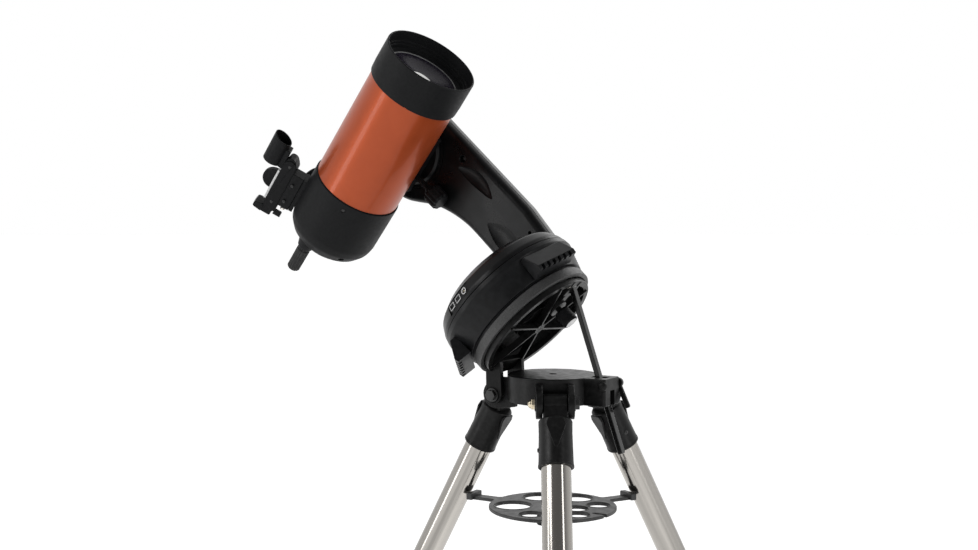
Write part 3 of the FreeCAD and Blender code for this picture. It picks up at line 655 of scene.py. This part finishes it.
def saddle():
    side = [(y, z) for y, z in ((67, -34), (82, -34), (82, 34), (67, 34), (67, 20), (76, 20),
                                (76, -20), (67, -20))]
    jaw = slab([(y, AXLE_LIFT + z, 1.2) for y, z in side], AXLE_X - 50, AXLE_X + 50, 1.0)
    jaw.transform(facing_out())
    piece("saddle_jaw", jaw, SADDLE, "cradle", ["saddle"], "soft_black")
    hub = turned([(0, 82), (46, 82, 1.5), (49.4, 84.5, 1), (50, 87.4, 0.3), (20, 87.4), (20, 101),
                  (12, 101), (12, 116, 0.5), (0, 116)])
    piece("saddle_hub", moved(hub, along_y(AXLE_X, 0, AXLE_LIFT)), SADDLE, "cradle",
          ["altitude_hub"], "gloss_black")
    grip = turned([(0, 259), (11.4, 259, 1.6), (13.9, 261.4, 1.4), (14.3, 280, 0.8), (13.0, 283, 1),
                   (8, 285, 0.6), (8, 288), (4, 288), (4, 332), (0, 332)], 288, 0.06, 12)
    grip.transform(shift(GRIP_X, GRIP_Y, 0))
    piece("saddle_grip", grip, SADDLE, "cradle_screw", ["saddle_knob"], "black_plastic", 45)


def arm_outline(inset, count=64):
    """Side view of the arm, (x, z): straight back, round head, swept front."""
    radius = HEAD_R - inset
    foot, back, leave = FOOT_Z + inset, HEAD_X + HEAD_R - inset, radians(217)
    corners = [Vector((52 - inset, foot)), Vector((56 - inset, 104)), Vector((back, 150))]
    outline = []
    for start, end in zip(corners, corners[1:] + [Vector((back, AXLE_LIFT))]):
        outline += [start.lerp(end, k / 8) for k in range(8)]
    outline += [Vector((HEAD_X + radius * cos(leave * k / count),
                        AXLE_LIFT + radius * sin(leave * k / count))) for k in range(count)]
    front = Vector((HEAD_X + radius * cos(leave), AXLE_LIFT + radius * sin(leave)))
    path = [front, Vector((-48 + inset, 270)), Vector((-33 + inset, 222)),
            Vector((-31 + inset, 170)), Vector((-35 + inset, foot))]
    outline += spline(path, 12)
    outline += [path[-1].lerp(corners[0], k / 12) for k in range(12)]
    return outline


def arm_layer(steps):
    """Arm-shaped solid through (inset, y) steps."""
    rows = [[(p.x, y, p.y) for p in arm_outline(inset)] for inset, y in steps]
    return skinned(rows, closed=False)


def scoop(path, depth):
    """Boat-shaped hollow: path holds (x, z, half width), depth its greatest depth."""
    rows, last = [], len(path) - 1
    points = [Vector(p[:2]) for p in path]
    for i, (x, z, half) in enumerate(path):
        ahead = (points[min(i + 1, last)] - points[max(i - 1, 0)]).normalized()
        side = Vector((-ahead.y, ahead.x))
        deep = depth * sin(pi * (i + 0.35) / (last + 0.7)) ** 0.7
        rows.append([(x + side.x * half * cos(a), ARM_INNER - 0.6 + deep * sin(a),
                      z + side.y * half * cos(a))
                     for a in (tau * k / 40 for k in range(40))])
    return skinned(rows, closed=False)


def smooth_path(points, count=18):
    """Even run of points through a few (x, z, half width) marks."""
    marks = [Vector(p) for p in points]
    return [tuple(p) for p in spline(marks, count) + [marks[-1]]]


def arm():
    cover = arm_layer([(10, ARM_INNER), (7.4, ARM_INNER + 0.35), (5, ARM_INNER + 1.2),
                       (3, ARM_INNER + 2.6), (1.4, ARM_INNER + 4.6), (0.4, ARM_INNER + 7),
                       (0, ARM_INNER + 9.4), (0, ARM_SPLIT - 0.5), (0.5, ARM_SPLIT - 0.05)])
    teardrop = scoop(smooth_path([(27, 276, 2), (31, 262, 7.5), (35, 245, 11), (36, 228, 10.5),
                                  (34, 213, 6.5), (32, 201, 1.5)]), 5.5)
    lower = scoop(smooth_path([(-1, 186, 1.5), (0, 174, 9), (1, 160, 15), (2, 146, 17),
                               (3, 130, 15), (4, 116, 8), (5, 108, 2)]), 4.2)
    seat = along_y(ARM_SCREW_X, ARM_INNER, ARM_SCREW_Z)
    hole = moved(rod(5, -2, 8, 0, 32), seat)
    sink = moved(turned([(0, -3), (8.6, -3), (5, 1.2), (0, 1.2)], 40), seat)
    low_hole = moved(rod(3, -2, 8, 0, 24), along_y(40, ARM_INNER, 122))
    moat = turned([(54, -3), (57.4, -3), (56.6, 1.3), (54.8, 1.3)], 128)
    moat.transform(along_y(AXLE_X, ARM_INNER, AXLE_LIFT))
    cover = carved(cover, teardrop, lower, sink, hole, low_hole, moat)
    piece("arm_inner_half", cover, FORK, "fork", ["arm_cover"], "gloss_black", 42)
    shell = arm_layer([(0.5, ARM_SPLIT), (0, ARM_SPLIT + 0.5), (0.4, 107), (1.6, 112), (3.6, 116.5),
                       (6.4, 120.5), (10, 124), (14.4, 126.6), (19, ARM_OUTER)])
    piece("arm_outer_half", shell, FORK, "fork", ["arm_shell"], "gloss_black", 42)
    joint_line = arm_layer([(1.2, ARM_SPLIT - 0.6), (1.2, ARM_SPLIT + 0.6)])
    piece("arm_joint_line", joint_line, FORK, "fork", [], "inner_black")
    screw = screw_head(3.2, 1.2)
    screw.transform(facing((0, -1, 0), ARM_SCREW_X, ARM_INNER + 6, ARM_SCREW_Z))
    piece("arm_screw", screw, FORK, "fork", [], "black_metal")


# ---- drum

FOOT_ANGLES = (-25, 95, 215)
RIB_ANGLES = [35 + 60 * k for k in range(6)]
SEAM, DOME_TOP = 56.8, 88
SCREW_REACH = 40     # from the drum's axis to the screw that holds it down


def drum_lower():
    """Housing with its bumpers, the lip round its foot, and the floor with its posts."""
    wall = turned([(89, 13.2), (92.5, 13.6, 0.3), (92.5, 16.2, 0.4), (96.4, 16.8, 0.8),
                   (105, 44, 14), (107.6, 50, 3), (106.8, SEAM, 0.8), (103.6, SEAM), (104, 50),
                   (101.6, 44), (93, 18.5),
                   (89, 18.5)], 192)
    bumpers = []
    for angle in FOOT_ANGLES:
        block = upright([(96, 15, 1), (117.6, 15, 1.2), (119, 21, 1.4), (108, 45, 2), (98, 46)],
                        -34, 34, 0.9)
        teeth = [bar((112.5, 126), (y, y + 5), (11, 20.6), 0) for y in range(-29, 29, 10)]
        bumpers.append(moved(carved(block, joined(*teeth)), spun(angle)))
    inside = turned([(0, 18.5), (93, 18.5), (101.6, 44), (104, 50), (0, 50)], 96)
    bumpers = carved(joined(*bumpers), inside)
    piece("drum_wall", wall, BASE, "wedge", ["base_housing"], "drum_black")
    piece("drum_bumpers", bumpers, BASE, "wedge", [], "drum_black", 30)
    lip = turned([(89, 0, 0.4), (94.4, 0, 0.8), (95, 1.2), (95, 12.4, 0.7), (92.5, 13.6),
                  (89, 13.6)], 192)
    piece("drum_lip", lip, BASE, "wedge", [], "lip_grey")
    floor = joined(turned([(12.1, 14.4), (88.7, 14.4), (88.7, 18.4), (20, 18.4), (20, 42, 0.6),
                           (12.1, 42, 0.6)]),
                   turned([(27, 4), (28.5, 4, 0.3), (28.5, 15), (27, 15)]))
    boss = turned([(4.1, 0), (12.4, 0, 0.8), (13, 14.4), (4.1, 14.4)], 64)
    posts = [moved(boss, shift(SCREW_REACH, 0, 0))]
    for angle in range(-55, 300, 60):
        head = bar((56, 58), (-8, 8), (4, 15), 0.3)
        stem = bar((57.5, 66), (-1, 1), (4, 15), 0.3)
        posts.append(moved(joined(head, stem), spun(angle)))
    piece("drum_floor", joined(floor, *posts), BASE, "wedge", ["base_floor"], "inner_black")


def drum_upper():
    top = turned([(12, 30), (12, 42.5), (40, 42.5), (40, 84.5), (77, 84.5), (94.5, 74), (101, 62),
                  (101.6, SEAM + 0.9), (106, SEAM + 0.9, 0.7), (105.2, 63.5, 12), (98.4, 77, 12),
                  (82.4, DOME_TOP - 0.6, 3), (80.6, DOME_TOP, 0.6), (43.6, DOME_TOP, 0.4),
                  (43, DOME_TOP - 1, 0.2), (36.5, DOME_TOP - 1, 0.4), (36.5, 46), (0, 46),
                  (0, 30)], 192)
    inner = ARM_INNER - 0.3
    tools = [bar((-36, 66), (inner, 140), (50, 95), 0),
             bar((38.6, 51.4), (57.5, 66.5), (83.5, 95), 0),
             bar((-24.2, 24.2), (-130, -90), (61.8, 78.2), 0)]
    top = carved(top, *tools)
    piece("drum_dome", top, FORK, "fork", ["turntable"], "gloss_black", 30)
    lid = turned([(0, 84), (35.8, 84, 0.4), (35.8, 88.2), (41.4, 88.2, 0.5), (42, 90.4, 0.9),
                  (40, 91.4, 0.6), (0, 91.5)], 128)
    grips = [bar((-12 + 4 * k, -10.4 + 4 * k), (24, 34), (90.6, 93), 0) for k in range(7)]
    piece("battery_lid", carved(lid, joined(*grips)), FORK, "door", ["battery_door"])
    rocker = upright([(-6, -1.5), (6, -1.5), (6, 1.5, 0.5), (0, 0.7, 6), (-6, 1.5, 0.5)],
                     -4, 4, 0.4)
    pivot = moved(rod(1, -4.4, 4.4, 0.1, 20), along_y())
    rocker = moved(joined(rocker, pivot), shift(45, 62, 88.3))
    piece("power_rocker", rocker, FORK, "switch", ["power_switch"])


def port_panel():
    """Curved inset panel with three sockets, each in a raised light rim."""
    dome = turned([(0, 60), (103.2, 60), (101.2, 68), (94.6, 79.6), (0, 80)], 160)
    plate = carved(bar((-24, 24), (-115, -90.3), (62, 78), 0), dome, operation="INTERSECT")
    piece("socket_panel", soften(plate, 0.4, 50), FORK, "fork", ["port_panel"], "black_plastic", 30)
    rims, cores = [], []
    for x in (-15, 0, 15):
        seat = facing((0, -1, 0.42), x, -98.6, 70)
        if x < 10:
            outer = slab(oblong(5.4, 4.4, 1.2), -4, 1.6, 0.3)
            inner = slab(oblong(4.3, 3.4, 0.8), -2.4, 4, 0)
            rims.append(moved(carved(outer, inner), seat))
            pins = [bar((left, left + 0.7), (-1.6, 1.2), (-2.5, -0.4), 0)
                    for left in (-2.9 + 1.9 * k for k in range(4))]
            cores.append(moved(joined(*pins), seat))
        else:
            outer = turned([(2.8, -4), (4.8, -4), (4.8, 1.6, 0.5), (3.4, 1.6, 0.4), (2.8, 0.4)], 40)
            rims.append(moved(outer, seat))
            cores.append(moved(rod(1.0, -4, 0.8, 0.3, 20), seat))
    piece("socket_rims", joined(*rims), FORK, "fork", [], "silver")
    piece("socket_pins", joined(*cores), FORK, "fork", [], "zinc")


# ---- wedge

HINGE = BASE.inverted() @ joint_place("wedge_tilt") / MM
PIVOT = BASE.inverted() @ joint_place("bar_swing") / MM
EAR_SPAN = 29.2      # from the middle plane to the middle of a hinge ear


def tilt_plate():
    """Open cast spider: ring, six ribs meeting at the middle, hinge ears and bar fork."""
    ring = turned([(80, -8, 0.4), (88, -8, 0.6), (88, -0.4, 0.3), (80, -0.4, 0.3)])
    ribs = [moved(bar((0, 84), (-1.5, 1.5), (-10, -0.5), 0.4), spun(angle)) for angle in RIB_ANGLES]
    hubs = [rod(9, -10, -0.4, 0.6, 48),
            moved(turned([(4.2, -12), (13, -12, 0.8), (14, -0.5), (4.2, -0.5)], 64),
                  shift(SCREW_REACH, 0, 0)),
            bar((SCREW_REACH, 84), (-6, 6), (-9, -0.5), 0.6)]
    ears = []
    for side in (-1, 1):
        low = side * EAR_SPAN - 4
        outline = [(HINGE.x - 13, HINGE.z + 1, 9), (HINGE.x - 7, HINGE.z - 12.5, 9),
                   (HINGE.x + 10, HINGE.z - 10.5, 8), (-62, -9, 6), (-62, -0.5), (-86, -0.5)]
        ears.append(upright(outline, low, low + 8, 0.8))
        ears.append(moved(turned([(4.1, 0), (12.8, 0, 1), (12.8, 8, 1), (4.1, 8)], 56),
                          along_y(HINGE.x, low, HINGE.z)))
        ears.append(bar((62, 87), (side * 8.5 - 3, side * 8.5 + 3), (-9, 3), 0.8))
    bridge = bar((-86, -62), (-27, 27), (-8, -0.5), 0.6)
    slot = bar((67, 95), (-5.5, 5.5), (-12, 4), 0)
    body = joined(ring, *ribs, *hubs[:2], carved(hubs[2], slot), bridge, *ears)
    piece("wedge_casting", body, BASE, "wedge", ["tilt_plate"], "cast_black")
    pin = joined(*[rod(radius, low, high, 0.4, 32) for radius, low, high in
                   ((3.5, -12, 12), (5.6, 11.2, 12.4), (5.6, -12.4, -11.2))])
    pin.transform(along_y(PIVOT.x, 0, PIVOT.z))
    piece("bar_pivot_pin", pin, BASE, "wedge", ["bar_pin"], "bright")
    grip = turned([(0, -38), (9.4, -38, 0.5), (10.8, -36.6, 0.5), (11, -19, 0.6), (9.6, -16, 0.6),
                   (4, -16), (4, 13), (0, 13)], 192, 0.012, 32)
    grip.transform(shift(SCREW_REACH, 0, 0))
    piece("mounting_grip", grip, BASE, "mount_screw", ["mounting_knob"], "black_plastic", 45)
    face = turned([(0, -38.15), (8.9, -38.15, 0.1), (8.9, -37.9), (0, -37.9)], 64)
    face.transform(shift(SCREW_REACH, 0, 0))
    piece("mounting_grip_face", face, BASE, "mount_screw", [], "silver")


def latitude_bar():
    """Flat bar from the plate's pin down through the slot in the head's boss."""
    pivot = joint_place("bar_swing")
    head = TRIPOD.translation
    foot = Vector((74 * MM + head.x, 0, head.z - 16 * MM))
    down = frame_of(pivot, ACROSS, pivot - foot)
    length, wide, thick = 232.6, 5, 3.25
    strap = bar((-thick, thick), (-wide, wide), (-length, -3), 0.9)
    eye = moved(turned([(3.6, -wide), (6.4, -wide, 0.6), (6.4, wide, 0.6), (3.6, wide)], 48),
                along_y())
    hole = moved(rod(3.6, -9, 9, 0, 32), along_y())
    piece("latitude_strut", joined(carved(strap, hole), eye), down, "bar", ["latitude_bar"],
          "bar_black")


# ---- tripod head

PIVOT_REACH, PIVOT_DROP, LUG_R, LUG_GAP, LUG = 75.3, 30, 19.5, 32.7, 8.5
CLAMP_X, CLAMP_Z = 84.5, -9


def tripod_head():
    disc = turned([(5, -36), (61.3, -36, 1.5), (61.3, 0, 1.6), (5, 0, 0.8)], 160)
    boss = slab([(45, -22), (86, -22, 4), (88, -20, 1.5), (88, 20, 1.5), (86, 22, 4), (45, 22)],
                -36, -0.05, 1.3)
    slot_top = bar((59, 81.5), (-6.5, 6.5), (-17, 1), 0)
    slot_face = bar((66, 95), (-6.5, 6.5), (-40, -16), 0)
    bore = moved(rod(2.6, -30, 30, 0, 24), along_y(CLAMP_X, 0, CLAMP_Z))
    body = merged(disc, boss)
    lugs, pockets = [], []
    for angle in LEG_ANGLES.values():
        pocket = bar((56, 100), (-LUG_GAP / 2, LUG_GAP / 2), (-60, -6), 0)
        pockets.append(moved(pocket, spun(angle)))
        for side in (-1, 1):
            low = side * (LUG_GAP + LUG) / 2 - LUG / 2
            cheek = [(45, -6.2), (PIVOT_REACH - 3, -6.2, 9)]
            cheek += [(PIVOT_REACH + LUG_R * cos(t), -PIVOT_DROP + LUG_R * sin(t))
                      for t in (radians(60 - 150 * k / 16) for k in range(17))]
            cheek += [(45, -PIVOT_DROP - LUG_R + 4)]
            part = upright(cheek, low, low + LUG, 1.1)
            bolt_hole = rod(4.05, -40, 40, 0, 24)
            bolt_hole.transform(along_y(PIVOT_REACH, 0, -PIVOT_DROP))
            lugs.append(moved(carved(part, bolt_hole), spun(angle)))
    body = carved(body, joined(*pockets), slot_top, slot_face, bore)
    piece("head_casting", joined(body, *lugs), TRIPOD, "head", ["tripod_head"], "cast_black", 32)


def head_hardware():
    threads = []
    turns, pitch = 60, 1.5
    rods = turned([(0, -288), (4.4, -288, 0.8), (4.9, -285), (4.9, -10), (0, -10)], 48)
    for k in range(turns):
        z = -285 + pitch * k
        threads.append(turned([(4.3, z), (4.95, z + 0.5), (4.95, z + 0.8), (4.3, z + 1.3)], 32))
    piece("centre_shaft", joined(rods, *threads), TRIPOD, "head", ["centre_rod"], "steel")
    bolts, heads = [], []
    for angle, grip in zip(LEG_ANGLES.values(), (25, 25, 33.6)):
        shank = moved(rod(3.98, -grip, grip, 0.1, 32), along_y())
        washers = [moved(rod(9.4, -0.1, 1.3, 0.4, 40), facing((0, side, 0), 0, side * grip, 0))
                   for side in (-1, 1)]
        head = moved(joined(hexagon(7.5, 0.9, 5.6, 0.5),
                            turned([(0, 5), (5.9, 5), (5.4, 7.6, 1.5), (3, 10, 2), (0, 10.6)], 48)),
                     facing((0, -1, 0), 0, -grip, 0))
        nut = moved(hexagon(7.5, 0.9, 6.5, 0.6), along_y(0, grip, 0))
        tail = moved(rod(3.9, 6, 8, 0.6, 24), along_y(0, grip - 2.2, 0))
        place = spun(angle) @ shift(PIVOT_REACH, 0, -PIVOT_DROP)
        heads.append(moved(head, place))
        bolts.append(moved(joined(shank, nut, tail, *washers), place))
    piece("pivot_hardware", joined(*bolts), TRIPOD, "head", ["pivot_bolts"], "black_metal")
    piece("pivot_bolt_head", heads[0], TRIPOD, "head", [], "zinc")
    piece("pivot_bolt_heads_dark", joined(*heads[1:]), TRIPOD, "head", [], "black_metal")


def clamp_lever():
    shank = moved(rod(2.55, -24, 26, 0.2, 24), along_y())
    button = moved(turned([(0, 22.2), (6.6, 22.2, 0.4), (6.2, 24.2, 1), (4, 26.2, 2), (0, 27)], 48),
                   facing((0, -1, 0)))
    hub = moved(turned([(2.5, 22.3), (6.6, 22.3, 0.6), (7, 24, 0.5), (6.4, 29.3, 1.2),
                        (2.5, 29.3)], 48), along_y())
    blade = slab([(-3.4, -36, 2.4), (3.4, -36, 2.4), (3.0, -4), (3.2, 0), (-3.2, 0), (-3.0, -4)],
                 -28, -23.5, 0.9)
    blade.transform(Matrix.Rotation(radians(24), 4, "Y").inverted()
                    @ Matrix.Rotation(pi / 2, 4, "X"))
    lever = joined(shank, button, hub, blade)
    lever.transform(shift(CLAMP_X, 0, CLAMP_Z))
    piece("clamp_handle", lever, TRIPOD, "clamp", ["clamp_lever"], "cast_black")


# ---- legs

LEG_R, INNER_R = 19.05, 16
LOCK_Z = -627        # height of the clamp screw, below the leg's pivot


def leg(number):
    place = leg_frame(number)
    name, tag = f"leg_{number}", f"leg{number}_"
    tongue = moved(turned([(4.05, -16), (12.6, -16, 1.2), (13.4, -14.4, 0.8), (13.4, 14.4, 0.8),
                           (12.6, 16, 1.2), (4.05, 16)], 72), along_y())
    neck = upright([(-12, -30), (12, -30), (12, 0), (-12, 0)], -15.6, 15.6, 1.2)
    neck = carved(neck, moved(rod(4.05, -20, 20, 0, 32), along_y()))
    sleeve = turned([(LEG_R + 0.1, -85, 0.4), (22.75, -85, 0.8), (22.3, -76, 6), (21.6, -40, 8),
                     (21.9, -24, 2.5), (19.4, -21.6, 1.4), (8, -21.6), (8, -24),
                     (LEG_R + 0.1, -24)], 96)
    lip = turned([(20, -84.8, 0.3), (23.0, -84.8, 0.6), (23.0, -81.6, 0.6), (20, -81.2)], 96)
    vees = []
    for side in (-1, 1):
        vee = slab([(0, -70, 3), (13, -33, 4), (10, -25.4, 2), (-10, -25.4, 2), (-13, -33, 4)],
                   19.6, 22.6, 1.0)
        vees.append(moved(vee, spun(90 + 90 * side) @ facing_out()))
    screw = moved(screw_head(3.0, 1.6), spun(-90) @ along_x(22.2, 0, -62))
    piece(tag + "sleeve", joined(tongue, neck, sleeve, lip, *vees), place, name,
          [f"{name}_casting"], "cast_black", 32)
    piece(tag + "sleeve_screw", screw, place, name, [], "black_metal")
    upper = turned([(LEG_R - 1.5, -610, 0.3), (LEG_R, -610, 0.4), (LEG_R, -24, 0.4),
                    (LEG_R - 1.5, -24, 0.3)], 96)
    piece(tag + "upper_tube", upper, place, name, [f"{name}_tube"], "steel")

    collar = turned([(INNER_R + 0.1, -640, 0.5), (20, -640, 1.5), (24, -632, 3), (24, -580, 1.5),
                     (22.6, -575, 1.2), (LEG_R + 0.1, -575, 0.4), (LEG_R + 0.1, -612),
                     (INNER_R + 0.1, -612)], 96)
    pad = moved(turned([(4.1, 14), (10, 14), (9, 31.4, 0.8), (4.1, 31.4)], 48),
                along_x(0, 0, LOCK_Z))
    hole = moved(rod(4.1, 10, 40, 0, 24), along_x(0, 0, LOCK_Z))
    stem = rod(15.9, -700, -500, 0, 48)
    piece(tag + "lock_collar", joined(carved(collar, hole), carved(pad, stem)), place,
          name, [f"{name}_collar"])
    grip = joined(slab(lobed(15.3, 2.0, 72), 32.4, 44.4, 1.6), rod(3.9, 17, 34, 0.3, 28),
                  rod(6, 43, 45, 0.8, 32))
    piece(tag + "lock_knob", moved(grip, along_x(0, 0, LOCK_Z)), place, f"{name}_clamp",
          [f"{name}_knob"])
    inner = turned([(INNER_R - 1.5, -700, 0.2), (INNER_R, -700, 0.4), (INNER_R, -150, 0.4),
                    (INNER_R - 1.5, -150, 0.2)], 80)
    piece(tag + "lower_tube", inner, place, f"shin_{number}", [f"{name}_extension"], "steel")
    shoe = turned([(INNER_R, -690, 0.4), (18.2, -690, 0.8), (18.6, -698, 1), (19, -700, 0.4),
                   (19, -720, 0.6), (17.4, -728), (0, -728), (0, -700), (INNER_R, -700)],
                  120, 0.006, 30)
    ground = bar((-900, 900), (-900, 900), (-200, 0), 0)
    scale = Matrix.Scale(1 / MM, 4) @ place.inverted() @ Matrix.Scale(MM, 4)
    ground.transform(scale)
    piece(tag + "foot_pad", carved(shoe, ground), place, f"shin_{number}", [f"{name}_foot"],
          "rubber", 40)


def facing_out():
    """Outline (y, z) swept outwards along X."""
    return Matrix(((0, 0, 1, 0), (1, 0, 0, 0), (0, 1, 0, 0), (0, 0, 0, 1)))


# ---- tray

TRAY_DROP, TRAY_R, TRAY_THICK, TRAY_REACH = 178.5, 86.4, 4.5, 129
NUT_LIFT = 1.3
HOLES = ((25.6, 210, 53.5), (23, 137.6, 54.7), (23, 82.9, 57.6), (16.1, 33, 62), (16.1, 270, 60),
         (16.1, 330, 62), (16.1, 0, 36))


def tray():
    """Round accessory tray with three arms, eyepiece holes and a slot in its rim."""
    outline = []
    half = 8.5
    for angle in sorted(LEG_ANGLES.values()):
        spoke = radians(angle)
        ahead = Vector((cos(spoke), sin(spoke)))
        side = Vector((-sin(spoke), cos(spoke)))
        root = sqrt(TRAY_R ** 2 - half ** 2)
        for reach, across, radius in ((root, -half, 6), (TRAY_REACH - 3, -half, 1),
                                      (TRAY_REACH - 3, half, 1), (root, half, 6)):
            outline.append((*(ahead * reach + side * across), radius))
        start = spoke + asin(half / TRAY_R)
        end = spoke + tau / 3 - asin(half / TRAY_R)
        outline += [(TRAY_R * cos(t), TRAY_R * sin(t))
                    for t in (start + (end - start) * k / 40 for k in range(4, 37))]
    plate = slab(outline, -TRAY_THICK, 0, 0.8)
    tools = [moved(rod(r, -8, 3, 0, 72), spun(a) @ shift(d, 0, 0)) for r, a, d in HOLES]
    tools.append(rod(5, -15, 10, 0, 40))
    tools.append(slab([(66, -17, 3.4), (100, -17), (100, -10), (66, -10, 3.4)], -8, 3, 0))
    plate = carved(plate, *tools)
    hub = turned([(5, -8), (11.4, -8, 0.8), (12, -4), (12, 3.4), (11.4, 4, 0.5), (5, 4)], 64)
    rims = [moved(turned([(r, -0.2), (r + 1.4, -0.2), (r + 1.2, 0.5, 0.3), (r, 0.5, 0.3)], 72),
                  spun(a) @ shift(d, 0, 0)) for r, a, d in HOLES]
    pads = [moved(bar((TRAY_REACH - 9, TRAY_REACH), (-14, 14), (-TRAY_THICK, 5), 1.2), spun(angle))
            for angle in LEG_ANGLES.values()]
    place = mm(TRIPOD, shift(0, 0, -TRAY_DROP))
    piece("tray_plate", joined(plate, hub, *rims, *pads), place, "tray", ["accessory_tray"],
          "tray_grey", 32)
    grip = joined(carved(slab(lobed(20, 3.4, 96), -26, -13, 1.8), rod(5, -40, 0, 0, 40)),
                  turned([(5, -14), (15, -14), (12, -10, 1), (5, -10)], 64))
    under = mm(TRIPOD, shift(0, 0, NUT_LIFT - TRAY_DROP))
    piece("tray_nut_grip", grip, under, "tray_nut", ["tray_knob"])


# ---- camera, floor and light

def camera():
    """Stands off the tripod's axis, a little above its head, and looks slightly down."""
    away, bearing, rise = 1.7177, radians(-62.13), 0.2123
    yaw, pitch, lens = radians(2.872), radians(-2.647), 47.16
    target = TRIPOD.translation
    data = bpy.data.cameras.new("camera")
    data.lens, data.sensor_width = lens, 36
    data.clip_end = 100
    eye = placed("camera", data)
    look = bearing + pi + yaw
    ahead = Vector((cos(look) * cos(pitch), sin(look) * cos(pitch),
                    sin(pitch)))
    side = ahead.cross(UP).normalized()
    eye.matrix_world = Matrix((side, side.cross(ahead), -ahead)).transposed().to_4x4()
    off = Vector((away * cos(bearing), away * sin(bearing), rise))
    eye.matrix_world.translation = target + off
    bpy.context.scene.camera = eye


def studio():
    """Wide pale floor, a bright surround that dims towards the viewer's side, and soft boxes."""
    bm = bmesh.new()
    floor_radius, floor_gap = 60, 0.0005
    bmesh.ops.create_circle(bm, cap_ends=True, segments=SIDES, radius=floor_radius)
    bmesh.ops.translate(bm, verts=bm.verts, vec=(0, 0, -floor_gap))
    mesh = bpy.data.meshes.new("floor")
    bm.to_mesh(mesh)
    bm.free()
    floor = placed("floor", mesh)
    mesh.materials.append(finish("floor_paper", [0.86, 0.90], (0.8, 0.9), 12, 0.0,
                                 Emission_Color=(1, 1, 1, 1), Emission_Strength=0.48))

    world = bpy.data.worlds.new("surround")
    world.use_nodes = True
    nodes, links = world.node_tree.nodes, world.node_tree.links
    where = nodes.new("ShaderNodeTexCoord")
    toward = nodes.new("ShaderNodeVectorMath")
    toward.operation = "DOT_PRODUCT"
    front = radians(-62)
    toward.inputs[1].default_value = (cos(front), sin(front), 0.35)
    dim = nodes.new("ShaderNodeMapRange")
    dim.interpolation_type = "SMOOTHSTEP"
    dim.inputs["From Min"].default_value, dim.inputs["From Max"].default_value = -0.3, 0.8
    dim.inputs["To Min"].default_value, dim.inputs["To Max"].default_value = 1.0, 0.23
    links.new(where.outputs["Generated"], toward.inputs[0])
    links.new(toward.outputs["Value"], dim.inputs["Value"])
    links.new(dim.outputs["Result"], nodes["Background"].inputs["Strength"])
    nodes["Background"].inputs["Color"].default_value = (1.0, 1.0, 1.0, 1)
    bpy.context.scene.world = world
    middle = TRIPOD.translation + Vector((-0.1, 0, 0.1))
    for name, bearing, rise, away, wide, tall, power in (
            ("key", -120, 1.3, 2.0, 0.8, 0.8, 16), ("fill", -8, 0.3, 2.2, 0.35, 2.2, 12),
            ("left", -135, 0.2, 2.2, 0.3, 2.2, 10), ("back", 80, 1.4, 2.4, 1.6, 1.0, 12)):
        data = bpy.data.lights.new(name, "AREA")
        data.shape, data.size, data.size_y, data.energy = "RECTANGLE", wide, tall, power
        lamp = placed(name, data)
        turn = radians(bearing)
        lamp.location = middle + Vector((away * cos(turn), away * sin(turn), rise))
        lamp.rotation_euler = (middle - lamp.location).to_track_quat("-Z", "Y").to_euler()
    bpy.context.scene.view_settings.view_transform = "Standard"


optical_tube()
front_ring()
corrector()
rear_bell()
rear_fittings()
eyepiece_port()
dovetail()
finder()
saddle()
arm()
drum_lower()
drum_upper()
port_panel()
tilt_plate()
latitude_bar()
tripod_head()
head_hardware()
clamp_lever()
for leg_number in LEG_ANGLES:
    leg(leg_number)
tray()
for hidden, inner_finish in (("azimuth_gear", "brass_gear"), ("altitude_gear", "brass_gear"),
                             ("azimuth_motor", "motor"), ("altitude_motor", "motor"),
                             ("control_board", "board")):
    frame["nodes"][hidden].data.materials.clear()
    frame["nodes"][hidden].data.materials.append(FINISH[inner_finish])
camera()
studio()
